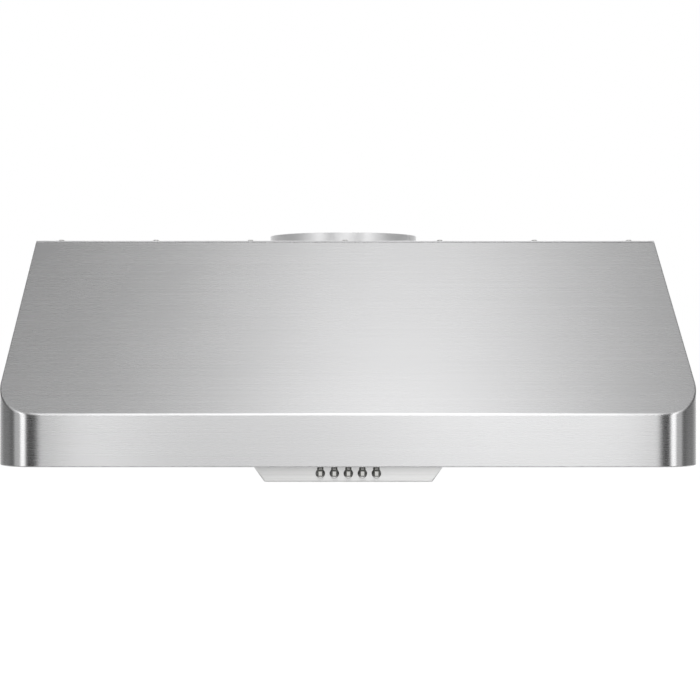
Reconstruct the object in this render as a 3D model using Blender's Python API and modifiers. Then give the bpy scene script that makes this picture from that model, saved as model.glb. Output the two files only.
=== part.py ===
"""Under cabinet range hood, 30 inch class, as an assembly of its separate pieces.

Frame: metres. X runs across the hood, +Y points at the wall behind it and +Z points up.
The origin is the middle of the top rear edge, where the wall meets the underside of the
cabinet, so the whole body hangs below z = 0 and in front of y = 0.
"""

import math

import bmesh
import bpy
from mathutils import Matrix, Vector

MM = 0.001

# Driving dimensions of the canopy
WIDTH = 756 * MM
DEPTH = 558 * MM
HEIGHT = 254 * MM
FASCIA_HEIGHT = 56.5 * MM
CORNER_RADIUS = 44 * MM
CORNER_SEGMENTS = 12
SLOPE_ANGLE = math.radians(40)
SHEET = 1.2 * MM
GAP = 0.3 * MM
SIDE_FLANGE = 14 * MM
BOTTOM_FLANGE = 12 * MM
RAIL_DEPTH = 30 * MM

# Heights and places that follow from them
HALF_WIDTH = WIDTH / 2
FRONT_Y = -DEPTH
BOTTOM_Z = -HEIGHT
FLANGE_Z = -SHEET - GAP
FASCIA_TOP_Z = BOTTOM_Z + FASCIA_HEIGHT
RIDGE_Y = FRONT_Y + (FLANGE_Z - FASCIA_TOP_Z) / math.tan(SLOPE_ANGLE)
SEAM_Y = FRONT_Y + CORNER_RADIUS + 14 * MM
SLOPE_NORMAL = Vector((0, -math.sin(SLOPE_ANGLE), math.cos(SLOPE_ANGLE)))
SLOPE_FOOT = Vector((0, FRONT_Y, FASCIA_TOP_Z))

# Fasteners along the ridge
SCREW_PITCH = 116 * MM
SCREW_COUNT = 7
SCREW_Y = RIDGE_Y + 8.5 * MM
SCREW_HOLE_RADIUS = 1.9 * MM
SCREW_SHANK_RADIUS = 1.5 * MM
SCREW_HEAD_RADIUS = 3.4 * MM

# Underside pan and its filters
PAN_CLEARANCE = 3.5 * MM
PAN_RECESS = 27.5 * MM
PAN_TOP_Z = BOTTOM_Z + PAN_RECESS
PAN_UNDER_Z = PAN_TOP_Z - SHEET
FILTER_WIDTH = 340 * MM
FILTER_FRONT_Y = -452 * MM
FILTER_REAR_Y = -90 * MM
FILTER_THICKNESS = 10 * MM
FILTER_TOP_Z = PAN_UNDER_Z - 0.6 * MM
FILTER_UNDER_Z = FILTER_TOP_Z - FILTER_THICKNESS
FILTER_CENTRE_X = 175 * MM
FILTER_BORDER = 18 * MM
FILTER_SHEET = 0.8 * MM
HINGE_Y = FILTER_REAR_Y + 3.5 * MM
HINGE_Z = FILTER_TOP_Z - 1.7 * MM
BAFFLE_PITCH = 34 * MM
BAFFLE_WIDTH = 24 * MM
BAFFLE_LIP = 4.8 * MM
LOWER_BAFFLES = 9
BOLT_HALF_WIDTH = 8 * MM

# Lamps
LAMP_X = 245 * MM
LAMP_Y = -498 * MM
LAMP_HOLE_RADIUS = 29.5 * MM

# Control box and its five keys
BOX_FRONT_Y = FRONT_Y + BOTTOM_FLANGE + 0.5 * MM
BOX_DEPTH = 48 * MM
BOX_HALF_WIDTH = 103.5 * MM
BOX_TAPER = 13.8 * MM
BOX_DROP = 17 * MM
BOX_TOP_Z = PAN_UNDER_Z - GAP
KEY_PITCH = 15 * MM
KEY_NAMES = ("key_light", "key_off", "key_low", "key_medium", "key_high")
KEY_Z = BOTTOM_Z - 7.7 * MM
KEY_TRAVEL = 3 * MM
BUSH_RADIUS = 4.8 * MM
BUSH_BORE = 2.8 * MM
BUSH_PROUD = 1.2 * MM

# Duct collar and back-draught damper
DUCT_Y = -150 * MM
COLLAR_RADIUS = 97.5 * MM
COLLAR_HEIGHT = 15 * MM
COLLAR_WALL = 1 * MM
COLLAR_FLANGE_RADIUS = 112 * MM
COLLAR_SCREW_RADIUS = 105 * MM
DAMPER_Z = 8 * MM
DAMPER_ROD_RADIUS = 1.5 * MM
FLAP_RADIUS = 94.3 * MM
FLAP_SHEET = 0.8 * MM

# Blower: a double-inlet wheel on an axis along X, in a scroll that blows upwards
WHEEL_RADIUS = 70 * MM
WHEEL_HALF_WIDTH = 66 * MM
BLADE_COUNT = 30
BLADE_INNER_RADIUS = 56 * MM
SCROLL_START = 78 * MM
SCROLL_END = 104 * MM
SCROLL_HALF_WIDTH = 74 * MM
SCROLL_SHEET = 1 * MM
WHEEL_Y = DUCT_Y - SCROLL_END / 2
WHEEL_Z = -125 * MM
INLET_RADIUS = 56 * MM
MOTOR_RADIUS = 40 * MM
SHAFT_RADIUS = 4.2 * MM

# Junction box
JUNCTION_LOW = Vector((200, -100, -52)) * MM
JUNCTION_HIGH = Vector((320, -24, -3.3)) * MM
KNOCKOUT_X = 260 * MM
KNOCKOUT_Y = -62 * MM
KNOCKOUT_RADIUS = 11 * MM

MERGE = 1e-5


# ---------------------------------------------------------------- scene helpers


def clear_scene():
    for obj in list(bpy.data.objects):
        bpy.data.objects.remove(obj, do_unlink=True)


def new_collection(name):
    collection = bpy.data.collections.new(name)
    bpy.context.scene.collection.children.link(collection)
    return collection


def make_material(name, colour, roughness, metallic=0.0, alpha=1.0):
    material = bpy.data.materials.new(name)
    material.use_nodes = True
    shader = material.node_tree.nodes["Principled BSDF"]
    shader.inputs["Base Color"].default_value = (*colour, 1.0)
    shader.inputs["Roughness"].default_value = roughness
    shader.inputs["Metallic"].default_value = metallic
    shader.inputs["Alpha"].default_value = alpha
    return material


clear_scene()
HOOD = new_collection("under_cabinet_range_hood")
CUTTERS = new_collection("cutters")
STEEL = make_material("brushed stainless", (0.68, 0.68, 0.68), 0.30, 1.0)
GALVANISED = make_material("galvanised steel", (0.55, 0.57, 0.58), 0.45, 1.0)
CHROME = make_material("plated keys", (0.75, 0.75, 0.74), 0.12, 1.0)
ZINC = make_material("zinc screws", (0.60, 0.60, 0.58), 0.35, 1.0)
ALUMINIUM = make_material("cast aluminium", (0.62, 0.63, 0.64), 0.40, 1.0)
BLACK = make_material("black plastic", (0.03, 0.03, 0.03), 0.50)
GREY = make_material("grey cable", (0.20, 0.20, 0.21), 0.60)
LENS = make_material("frosted lens", (0.90, 0.90, 0.88), 0.30, alpha=0.6)
PAPER_WHITE = make_material("white capacitor", (0.82, 0.82, 0.80), 0.45)


def object_from(name, bm, material, location=(0, 0, 0), collection=HOOD):
    """A new object from a bmesh whose points are relative to location."""
    mesh = bpy.data.meshes.new(name)
    bm.to_mesh(mesh)
    bm.free()
    if material:
        mesh.materials.append(material)
    obj = bpy.data.objects.new(name, mesh)
    obj.location = location
    collection.objects.link(obj)
    return obj


def helper_from(name, bm, location=(0, 0, 0)):
    """A cutter, or a shape that a Boolean adds: drawn as wire and left out of the model."""
    obj = object_from(name, bm, None, location, CUTTERS)
    obj.hide_render = True
    obj.display_type = "WIRE"
    return obj


def boolean(obj, helper, operation):
    modifier = obj.modifiers.new(f"{operation.lower()} {helper.name}", "BOOLEAN")
    modifier.operation = operation
    modifier.solver = "EXACT"
    modifier.object = helper
    return obj


def cut(obj, helper):
    return boolean(obj, helper, "DIFFERENCE")


def join(obj, helper):
    return boolean(obj, helper, "UNION")


def thicken(obj, thickness=SHEET, offset=-1.0):
    """Sheet metal: the modelled surface is one face of it, the outer one for offset -1."""
    modifier = obj.modifiers.new("sheet", "SOLIDIFY")
    modifier.thickness = thickness
    modifier.offset = offset
    modifier.use_even_offset = True
    return obj


def smooth(obj, angle=math.radians(35)):
    obj.data.shade_smooth()
    obj.data.set_sharp_from_angle(angle=angle)
    return obj


# ---------------------------------------------------------------- shape helpers


def add_box(bm, low, high):
    low, high = Vector(low), Vector(high)
    placed = Matrix.Translation((low + high) / 2) @ Matrix.Diagonal((*(high - low), 1))
    return bmesh.ops.create_cube(bm, size=1, matrix=placed)["verts"]


def box_mesh(low, high):
    bm = bmesh.new()
    add_box(bm, low, high)
    return bm


AXIS_TURN = {
    "X": Matrix.Rotation(math.pi / 2, 4, "Y"),
    "Y": Matrix.Rotation(-math.pi / 2, 4, "X"),
    "Z": Matrix.Identity(4),
}


def add_cylinder(bm, centre, radius, length, axis="Z", segments=24):
    bmesh.ops.create_cone(
        bm,
        cap_ends=True,
        segments=segments,
        radius1=radius,
        radius2=radius,
        depth=length,
        matrix=Matrix.Translation(centre) @ AXIS_TURN[axis],
    )


def cylinder_mesh(centre, radius, length, axis="Z", segments=24):
    bm = bmesh.new()
    add_cylinder(bm, centre, radius, length, axis, segments)
    return bm


def rounded_block(low, high, radius):
    """A block whose two upright front edges are rounded in plan."""
    bm = box_mesh(low, high)
    front = min(vert.co.y for vert in bm.verts)
    upright = [
        edge
        for edge in bm.edges
        if abs(edge.verts[0].co.z - edge.verts[1].co.z) > MERGE
        and all(abs(vert.co.y - front) < MERGE for vert in edge.verts)
    ]
    bmesh.ops.bevel(
        bm,
        geom=upright,
        offset=radius,
        offset_type="OFFSET",
        segments=CORNER_SEGMENTS,
        profile=0.5,
        affect="EDGES",
        material=-1,
    )
    return bm


def faces_facing(bm, direction):
    bm.normal_update()
    return [face for face in bm.faces if face.normal.dot(Vector(direction)) > 0.99]


def open_window(bm, direction, border):
    """Leaves a border of this width of the flat face that points in this direction."""
    for face in faces_facing(bm, direction):
        if border:
            bmesh.ops.inset_region(bm, faces=[face], thickness=border, use_even_offset=True)
        bmesh.ops.delete(bm, geom=[face], context="FACES")


def keep_behind(bm, point, normal):
    """Cuts away what lies on the side that normal points to."""
    geometry = bm.verts[:] + bm.edges[:] + bm.faces[:]
    bmesh.ops.bisect_plane(
        bm, geom=geometry, plane_co=point, plane_no=normal, clear_outer=True
    )


def turned(name, profile, material, location, axis="Z", steps=48):
    """A turned piece. The profile's (radius, height) points run down its outer side; a
    profile that doesn't start on the axis is a closed loop, so the piece has a bore."""
    bm = bmesh.new()
    verts = [bm.verts.new((radius, 0, height)) for radius, height in profile]
    closed = profile[0][0] > 0
    for first, second in zip(verts, verts[1:] + verts[:1] if closed else verts[1:]):
        bm.edges.new((first, second))
    obj = object_from(name, bm, material, location)
    obj.rotation_euler = AXIS_TURN[axis].to_euler()
    screw = obj.modifiers.new("turn", "SCREW")
    screw.angle = math.tau
    screw.steps = screw.render_steps = steps
    screw.use_merge_vertices = True
    screw.merge_threshold = MERGE
    return obj


def ring_profile(inner, outer, low, high):
    return [(outer, high), (outer, low), (inner, low), (inner, high)]


def curve_plate(name, outlines, thickness, material, location, rotation=(0, 0, 0)):
    """A flat plate from closed outlines in its own XY plane: the first is its edge and
    the others are holes."""
    data = bpy.data.curves.new(name, "CURVE")
    data.dimensions = "2D"
    data.fill_mode = "BOTH"
    data.extrude = thickness / 2
    for outline in outlines:
        spline = data.splines.new("POLY")
        spline.points.add(len(outline) - 1)
        spline.use_cyclic_u = True
        for point, (x, y) in zip(spline.points, outline):
            point.co = (x, y, 0, 1)
    data.materials.append(material)
    obj = bpy.data.objects.new(name, data)
    obj.location = location
    obj.rotation_euler = rotation
    HOOD.objects.link(obj)
    return obj


def made_mesh(curve_object, collection=HOOD):
    """Replaces a curve object by its mesh, so that a Boolean can use it."""
    bpy.context.view_layer.update()
    graph = bpy.context.evaluated_depsgraph_get()
    mesh = bpy.data.meshes.new_from_object(curve_object.evaluated_get(graph))
    bm = bmesh.new()
    bm.from_mesh(mesh)
    bmesh.ops.remove_doubles(bm, verts=bm.verts, dist=MERGE)
    bm.to_mesh(mesh)
    bm.free()
    name, placed = curve_object.name, curve_object.matrix_world.copy()
    bpy.data.objects.remove(curve_object, do_unlink=True)
    obj = bpy.data.objects.new(name, mesh)
    obj.matrix_world = placed
    collection.objects.link(obj)
    return obj


def swept(bm, points, sweep):
    """Faces swept from an open line of points, facing along sweep x (line direction)."""
    verts = [bm.verts.new(point) for point in points]
    edges = [bm.edges.new(pair) for pair in zip(verts, verts[1:])]
    made = bmesh.ops.extrude_edge_only(bm, edges=edges)["geom"]
    moved = [item for item in made if isinstance(item, bmesh.types.BMVert)]
    faces = [item for item in made if isinstance(item, bmesh.types.BMFace)]
    bmesh.ops.translate(bm, verts=moved, vec=sweep)
    bm.normal_update()
    first = next(face for face in faces if all(vert in face.verts for vert in verts[:2]))
    wanted = Vector(sweep).cross(verts[1].co - verts[0].co)
    if first.normal.dot(wanted) < 0:
        bmesh.ops.reverse_faces(bm, faces=faces)
    return faces


def bent_strip(name, profile, middle_x, half_width, material, thickness=SHEET):
    """A strip bent along X from (y, z) points; its thickness lies to the left of them."""
    bm = bmesh.new()
    points = [(middle_x - half_width, y, z) for y, z in profile]
    swept(bm, points, (2 * half_width, 0, 0))
    return thicken(object_from(name, bm, material), thickness, offset=1.0)


def arc(radius, start, end, count):
    """Points on a circle about the origin, both ends included; angles in degrees."""
    angles = [
        math.radians(start + (end - start) * step / (count - 1)) for step in range(count)
    ]
    return [(radius * math.cos(angle), radius * math.sin(angle)) for angle in angles]


def circle(radius, count=32):
    return arc(radius, 0, 360, count + 1)[:-1]


# ---------------------------------------------------------------- canopy


def canopy_block():
    return rounded_block(
        (-HALF_WIDTH, FRONT_Y, BOTTOM_Z),
        (HALF_WIDTH, -SHEET - GAP, FLANGE_Z),
        CORNER_RADIUS,
    )


def skirt_surface():
    """The upright walls with their turned-in flanges, cut off just under the slope."""
    bm = canopy_block()
    open_window(bm, (0, 0, -1), BOTTOM_FLANGE)
    open_window(bm, (0, 0, 1), SIDE_FLANGE)
    open_window(bm, (0, 1, 0), SIDE_FLANGE)
    keep_behind(bm, SLOPE_FOOT - SLOPE_NORMAL * (SHEET + GAP), SLOPE_NORMAL)
    return bm


def front_fascia():
    bm = skirt_surface()
    keep_behind(bm, (0, SEAM_Y - GAP, 0), (0, 1, 0))
    return smooth(thicken(object_from("front_fascia", bm, STEEL)))


def side_panel(name, side):
    bm = skirt_surface()
    keep_behind(bm, (0, SEAM_Y, 0), (0, -1, 0))
    keep_behind(bm, (side * (HALF_WIDTH - SIDE_FLANGE), 0, 0), (-side, 0, 0))
    return thicken(object_from(name, bm, STEEL))


def screw_places():
    middle = (SCREW_COUNT - 1) / 2
    return [Vector(((n - middle) * SCREW_PITCH, SCREW_Y, 0)) for n in range(SCREW_COUNT)]


def ridge_holes():
    bm = bmesh.new()
    for place in screw_places():
        add_cylinder(bm, place, SCREW_HOLE_RADIUS, 16 * MM, segments=12)
    return helper_from("ridge_holes", bm)


def slope_panel(holes):
    """The sloping sheet: the cut through the block, with a screw flange along the ridge."""
    flange_depth = 18 * MM
    flange_half_width = HALF_WIDTH - SIDE_FLANGE - 1.5 * MM
    bm = canopy_block()
    keep_behind(bm, SLOPE_FOOT, SLOPE_NORMAL)
    sides = [edge for edge in bm.edges if edge.is_boundary]
    slope = bmesh.ops.holes_fill(bm, edges=sides, sides=0)["faces"]
    others = [face for face in bm.faces if face not in slope]
    bmesh.ops.delete(bm, geom=others, context="FACES")
    for side in (-1, 1):
        geometry = bm.verts[:] + bm.edges[:] + bm.faces[:]
        place = (side * flange_half_width, 0, 0)
        bmesh.ops.bisect_plane(bm, geom=geometry, plane_co=place, plane_no=(1, 0, 0))
    ridge = [
        edge
        for edge in bm.edges
        if all(abs(vert.co.z - FLANGE_Z) < MERGE for vert in edge.verts)
        and abs(sum(vert.co.x for vert in edge.verts)) < MERGE
    ]
    swept = bmesh.ops.extrude_edge_only(bm, edges=ridge)["geom"]
    moved = [item for item in swept if isinstance(item, bmesh.types.BMVert)]
    bmesh.ops.translate(bm, verts=moved, vec=(0, flange_depth, 0))
    bmesh.ops.recalc_face_normals(bm, faces=bm.faces)
    if sum(face.normal.z * face.calc_area() for face in bm.faces) < 0:
        bmesh.ops.reverse_faces(bm, faces=bm.faces)
    obj = thicken(object_from("slope_panel", bm, STEEL))
    return cut(obj, holes)


def top_plate(holes):
    front = RIDGE_Y + 2.4 * MM
    bm = box_mesh((-HALF_WIDTH, front, -SHEET), (HALF_WIDTH, -RAIL_DEPTH - GAP, 0))
    obj = object_from("top_plate", bm, STEEL)
    cut(obj, holes)
    outlet = box_mesh(
        (-SCROLL_HALF_WIDTH, DUCT_Y - SCROLL_END / 2, -5 * MM),
        (SCROLL_HALF_WIDTH, DUCT_Y + SCROLL_END / 2, 5 * MM),
    )
    cut(obj, helper_from("blower_outlet_cutter", outlet))
    bm = bmesh.new()
    add_cylinder(bm, (KNOCKOUT_X, KNOCKOUT_Y, 0), KNOCKOUT_RADIUS, 10 * MM)
    for x in (-320 * MM, 320 * MM):
        for y in (-285 * MM, -60 * MM):
            add_cylinder(bm, (x, y, 0), 3.5 * MM, 10 * MM, segments=16)
    for place in collar_screw_places():
        add_cylinder(bm, place, SCREW_HOLE_RADIUS, 10 * MM, segments=12)
    return cut(obj, helper_from("top_plate_holes", bm))


def back_panel():
    """The wall sheet, with a mounting rail bent forwards along its top."""
    bm = box_mesh((-HALF_WIDTH, -RAIL_DEPTH, BOTTOM_Z), (HALF_WIDTH, 0, 0))
    for direction in ((0, -1, 0), (0, 0, -1), (1, 0, 0), (-1, 0, 0)):
        open_window(bm, direction, 0)
    obj = thicken(object_from("back_panel", bm, STEEL))
    outlet = box_mesh((-127 * MM, -5 * MM, -103 * MM), (127 * MM, 5 * MM, -20 * MM))
    cut(obj, helper_from("rear_outlet_cutter", outlet))
    heads, slots = bmesh.new(), bmesh.new()
    for x in (-250 * MM, 250 * MM):
        add_cylinder(heads, (x, 0, -70 * MM), 5 * MM, 10 * MM, "Y", 16)
        add_box(slots, (x - 2.7 * MM, -5 * MM, -70 * MM), (x + 2.7 * MM, 5 * MM, -58 * MM))
    cut(obj, helper_from("keyhole_heads", heads))
    return cut(obj, helper_from("keyhole_slots", slots))


def rear_outlet_cover():
    inside = -SHEET - GAP
    bm = box_mesh((-137 * MM, inside - SHEET, -112 * MM), (137 * MM, inside, -11 * MM))
    return object_from("rear_outlet_cover", bm, GALVANISED)


def screw(name, place, length):
    """A pan-head screw standing on z = place.z, with its shank below."""
    head, dome = 0.9 * MM, 1.7 * MM
    profile = [
        (0, dome),
        (0.55 * SCREW_HEAD_RADIUS, 0.93 * dome),
        (0.9 * SCREW_HEAD_RADIUS, 0.72 * dome),
        (SCREW_HEAD_RADIUS, head),
        (SCREW_HEAD_RADIUS, GAP),
        (SCREW_SHANK_RADIUS, GAP),
        (SCREW_SHANK_RADIUS, -length),
        (0, -length - 0.6 * MM),
    ]
    return smooth(turned(name, profile, ZINC, place, steps=12))


# ---------------------------------------------------------------- duct collar and damper


def collar_screw_places():
    places = []
    for turn in range(4):
        angle = math.radians(45 + 90 * turn)
        x = COLLAR_SCREW_RADIUS * math.cos(angle)
        y = DUCT_Y + COLLAR_SCREW_RADIUS * math.sin(angle)
        places.append(Vector((x, y, 0)))
    return places


def duct_collar():
    inner = COLLAR_RADIUS - COLLAR_WALL
    profile = [
        (COLLAR_RADIUS, COLLAR_HEIGHT),
        (COLLAR_RADIUS, GAP + COLLAR_WALL),
        (COLLAR_FLANGE_RADIUS, GAP + COLLAR_WALL),
        (COLLAR_FLANGE_RADIUS, GAP),
        (inner, GAP),
        (inner, COLLAR_HEIGHT),
    ]
    obj = smooth(turned("duct_collar", profile, STEEL, (0, DUCT_Y, 0), steps=64))
    bm = cylinder_mesh((0, DUCT_Y, DAMPER_Z), 1.9 * MM, 2.2 * COLLAR_RADIUS, "X", 12)
    for place in collar_screw_places():
        add_cylinder(bm, place, SCREW_HOLE_RADIUS, 10 * MM, segments=12)
    return cut(obj, helper_from("collar_holes", bm))


def damper_rod():
    bm = cylinder_mesh((0, 0, 0), DAMPER_ROD_RADIUS, 2 * COLLAR_RADIUS + 2 * MM, "X", 12)
    return smooth(object_from("damper_rod", bm, ZINC, (0, DUCT_Y, DAMPER_Z)))


def damper_flap(name, side, sleeve_x):
    """A half disc hinged on the rod: side is -1 for the front half, 1 for the rear."""
    hinge_gap = 3.3 * MM
    start = math.degrees(math.asin(hinge_gap / FLAP_RADIUS))
    outline = [(x, side * y) for x, y in arc(FLAP_RADIUS, start, 180 - start, 32)]
    plate = curve_plate(name, [outline], FLAP_SHEET, GALVANISED, (0, DUCT_Y, DAMPER_Z))
    obj = made_mesh(plate)
    sleeves, tongues, bores = bmesh.new(), bmesh.new(), bmesh.new()
    for x in (-sleeve_x, sleeve_x):
        add_cylinder(sleeves, (x, 0, 0), 2.9 * MM, 14 * MM, "X", 16)
        tongue = sorted((side * 1 * MM, side * 5 * MM))
        half = FLAP_SHEET / 2
        add_box(tongues, (x - 6 * MM, tongue[0], -half), (x + 6 * MM, tongue[1], half))
        add_cylinder(bores, (x, 0, 0), 1.9 * MM, 20 * MM, "X", 16)
    at_hinge = (0, DUCT_Y, DAMPER_Z)
    join(obj, helper_from(f"{name}_tongues", tongues, at_hinge))
    join(obj, helper_from(f"{name}_sleeves", sleeves, at_hinge))
    return cut(obj, helper_from(f"{name}_bores", bores, at_hinge))


# ---------------------------------------------------------------- blower


def scroll_points(extra=0.0, count=28):
    """(y, z) about the wheel's centre, from the outlet's front edge down to the cut-off,
    round the growing spiral and up the outlet's rear wall."""
    top = -WHEEL_Z - 3 * MM
    spiral = []
    for step in range(count):
        share = step / (count - 1)
        radius = SCROLL_START + (SCROLL_END - SCROLL_START) * share + extra
        angle = math.radians(90 + 270 * share)
        spiral.append((radius * math.cos(angle), radius * math.sin(angle)))
    front = -extra
    return [(front, top), *[(min(y, SCROLL_END + extra), z) for y, z in spiral],
            (SCROLL_END + extra, top)]


def blower_scroll():
    bm = bmesh.new()
    half = SCROLL_HALF_WIDTH - GAP
    swept(bm, [(-half, y, z) for y, z in scroll_points()], (2 * half, 0, 0))
    obj = object_from("blower_scroll", bm, GALVANISED, (0, WHEEL_Y, WHEEL_Z))
    return smooth(thicken(obj, SCROLL_SHEET, offset=1.0))


def blower_side(name, side):
    outlines = [scroll_points(extra=4 * MM), circle(INLET_RADIUS)]
    x = side * (SCROLL_HALF_WIDTH + SCROLL_SHEET / 2)
    turn = (math.pi / 2, 0, math.pi / 2)
    return curve_plate(name, outlines, SCROLL_SHEET, GALVANISED, (x, WHEEL_Y, WHEEL_Z), turn)


def fan_blades():
    """Forward-curved blades, each a short arc in section, as separate helpers' shapes."""
    bm = bmesh.new()
    depth = WHEEL_RADIUS - BLADE_INNER_RADIUS - 1 * MM
    thickness = 0.9 * MM
    for number in range(BLADE_COUNT):
        turn = Matrix.Rotation(math.tau * number / BLADE_COUNT, 4, "X")
        tilt = Matrix.Rotation(math.radians(28), 4, "X")
        place = turn @ Matrix.Translation((0, BLADE_INNER_RADIUS + depth / 2, 0)) @ tilt
        size = Matrix.Diagonal((2 * WHEEL_HALF_WIDTH - 2 * MM, depth, thickness, 1))
        bmesh.ops.create_cube(bm, size=1, matrix=place @ size)
    return bm


def fan_wheel():
    """Two blade rows on a middle disc, with a rim at each end and a hub on the shaft."""
    at_axis = (0, WHEEL_Y, WHEEL_Z)
    hub, hub_half = 13 * MM, 14 * MM
    disc = 1 * MM
    outer = WHEEL_RADIUS - 1 * MM
    profile = [
        (hub, hub_half),
        (hub, disc),
        (outer, disc),
        (outer, -disc),
        (hub, -disc),
        (hub, -hub_half),
        (SHAFT_RADIUS + GAP, -hub_half),
        (SHAFT_RADIUS + GAP, hub_half),
    ]
    obj = smooth(turned("fan_wheel", profile, GALVANISED, at_axis, "X", 40))
    join(obj, helper_from("fan_blades", fan_blades(), at_axis))
    for side in (-1, 1):
        x = side * (WHEEL_HALF_WIDTH - 2.5 * MM)
        ring = turned(
            f"fan_rim_{side}",
            ring_profile(BLADE_INNER_RADIUS, WHEEL_RADIUS, -2.5 * MM, 2.5 * MM),
            GALVANISED,
            (x, WHEEL_Y, WHEEL_Z),
            "X",
            40,
        )
        HOOD.objects.unlink(ring)
        CUTTERS.objects.link(ring)
        ring.hide_render = True
        ring.display_type = "WIRE"
        join(obj, ring)
    return obj


def motor():
    bore = SHAFT_RADIUS + 0.6 * MM
    low, high = 18 * MM, 88 * MM
    shoulder = 6 * MM
    profile = [
        (0.5 * MOTOR_RADIUS, high),
        (MOTOR_RADIUS - shoulder, high - 1 * MM),
        (MOTOR_RADIUS, high - shoulder),
        (MOTOR_RADIUS, low + shoulder),
        (MOTOR_RADIUS - shoulder, low + 1 * MM),
        (0.5 * MOTOR_RADIUS, low),
        (bore, low),
        (bore, high),
    ]
    return smooth(turned("motor", profile, ALUMINIUM, (0, WHEEL_Y, WHEEL_Z), "X", 32))


def motor_shaft():
    low, high = -17 * MM, 84 * MM
    bm = cylinder_mesh(((low + high) / 2, 0, 0), SHAFT_RADIUS, high - low, "X", 20)
    return smooth(object_from("motor_shaft", bm, ZINC, (0, WHEEL_Y, WHEEL_Z)))


def motor_bracket():
    """A ring round the motor's outer end, on three arms that cross the right inlet."""
    face = SCROLL_HALF_WIDTH + SCROLL_SHEET + GAP
    inner = MOTOR_RADIUS + 0.5 * MM
    outer = inner + 3 * MM
    ring = ring_profile(inner, outer, face, face + 8 * MM)
    obj = turned("motor_bracket", ring, GALVANISED, (0, WHEEL_Y, WHEEL_Z), "X", 32)
    arms = bmesh.new()
    for number in range(3):
        made = add_box(arms, (face, inner + 1.2 * MM, -7 * MM), (face + 2 * MM, 76 * MM, 7 * MM))
        turn = Matrix.Rotation(math.radians(90 + 120 * number), 3, "X")
        bmesh.ops.rotate(arms, verts=made, cent=(0, 0, 0), matrix=turn)
    return join(obj, helper_from("bracket_arms", arms, (0, WHEEL_Y, WHEEL_Z)))


# ---------------------------------------------------------------- electrics


def junction_box():
    bm = box_mesh(JUNCTION_LOW, JUNCTION_HIGH)
    open_window(bm, (0, 0, -1), 0)
    obj = thicken(object_from("junction_box", bm, GALVANISED), 1 * MM)
    bm = cylinder_mesh((KNOCKOUT_X, KNOCKOUT_Y, JUNCTION_HIGH.z), KNOCKOUT_RADIUS, 10 * MM)
    left, front = JUNCTION_LOW.x, JUNCTION_LOW.y
    for y in (-40 * MM, -78 * MM):
        add_cylinder(bm, (left, y, -30 * MM), 5 * MM, 12 * MM, "X", 16)
    for x in (225 * MM, 290 * MM):
        add_cylinder(bm, (x, front, -30 * MM), 5 * MM, 12 * MM, "Y", 16)
    return cut(obj, helper_from("junction_box_holes", bm))


def junction_box_cover():
    lip = 4 * MM
    bm = box_mesh(
        (JUNCTION_LOW.x - 1.4 * MM, JUNCTION_LOW.y - 1.4 * MM, JUNCTION_LOW.z - 1.5 * MM),
        (JUNCTION_HIGH.x + 1.4 * MM, JUNCTION_HIGH.y + 1.4 * MM, JUNCTION_LOW.z + lip),
    )
    open_window(bm, (0, 0, 1), 0)
    return thicken(object_from("junction_box_cover", bm, GALVANISED), 1 * MM)


def cable_gland():
    """The supply entry: a bush held in the knockout, with its clamp nut inside the box."""
    bore, neck, nut = 6 * MM, KNOCKOUT_RADIUS - 0.6 * MM, 14 * MM
    inside = JUNCTION_HIGH.z - 1 * MM - GAP
    profile = [
        (neck, -0.5 * MM),
        (neck, inside),
        (nut, inside),
        (nut, inside - 9 * MM),
        (bore, inside - 9 * MM),
        (bore, -0.5 * MM),
    ]
    return smooth(turned("cable_gland", profile, BLACK, (KNOCKOUT_X, KNOCKOUT_Y, 0), steps=24))


def capacitor():
    bm = cylinder_mesh((0, 0, 0), 15 * MM, 56 * MM, "X", 24)
    return smooth(object_from("capacitor", bm, PAPER_WHITE, (128 * MM, -31 * MM, -20 * MM)))


def switch_block():
    """The five-key switch, with a guide bush for each key's stem."""
    inside = BOX_FRONT_Y + SHEET + 0.5 * MM
    low = (-38 * MM, inside, BOTTOM_Z - 15 * MM)
    high = (38 * MM, inside + 27 * MM, BOTTOM_Z + 7 * MM)
    obj = object_from("switch_block", box_mesh(low, high), BLACK)
    bushes, bores = bmesh.new(), bmesh.new()
    front, root = BOX_FRONT_Y - BUSH_PROUD, inside + 4 * MM
    bore_end = inside + 16 * MM
    for x in key_places():
        middle = (x, (front + root) / 2, KEY_Z)
        add_cylinder(bushes, middle, BUSH_RADIUS, root - front, "Y", 24)
        middle = (x, (front - 5 * MM + bore_end) / 2, KEY_Z)
        add_cylinder(bores, middle, BUSH_BORE, bore_end - front + 5 * MM, "Y", 16)
    join(obj, helper_from("switch_bushes", bushes))
    return cut(obj, helper_from("switch_bores", bores))


def key_places():
    middle = (len(KEY_NAMES) - 1) / 2
    return [(number - middle) * KEY_PITCH for number in range(len(KEY_NAMES))]


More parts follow.
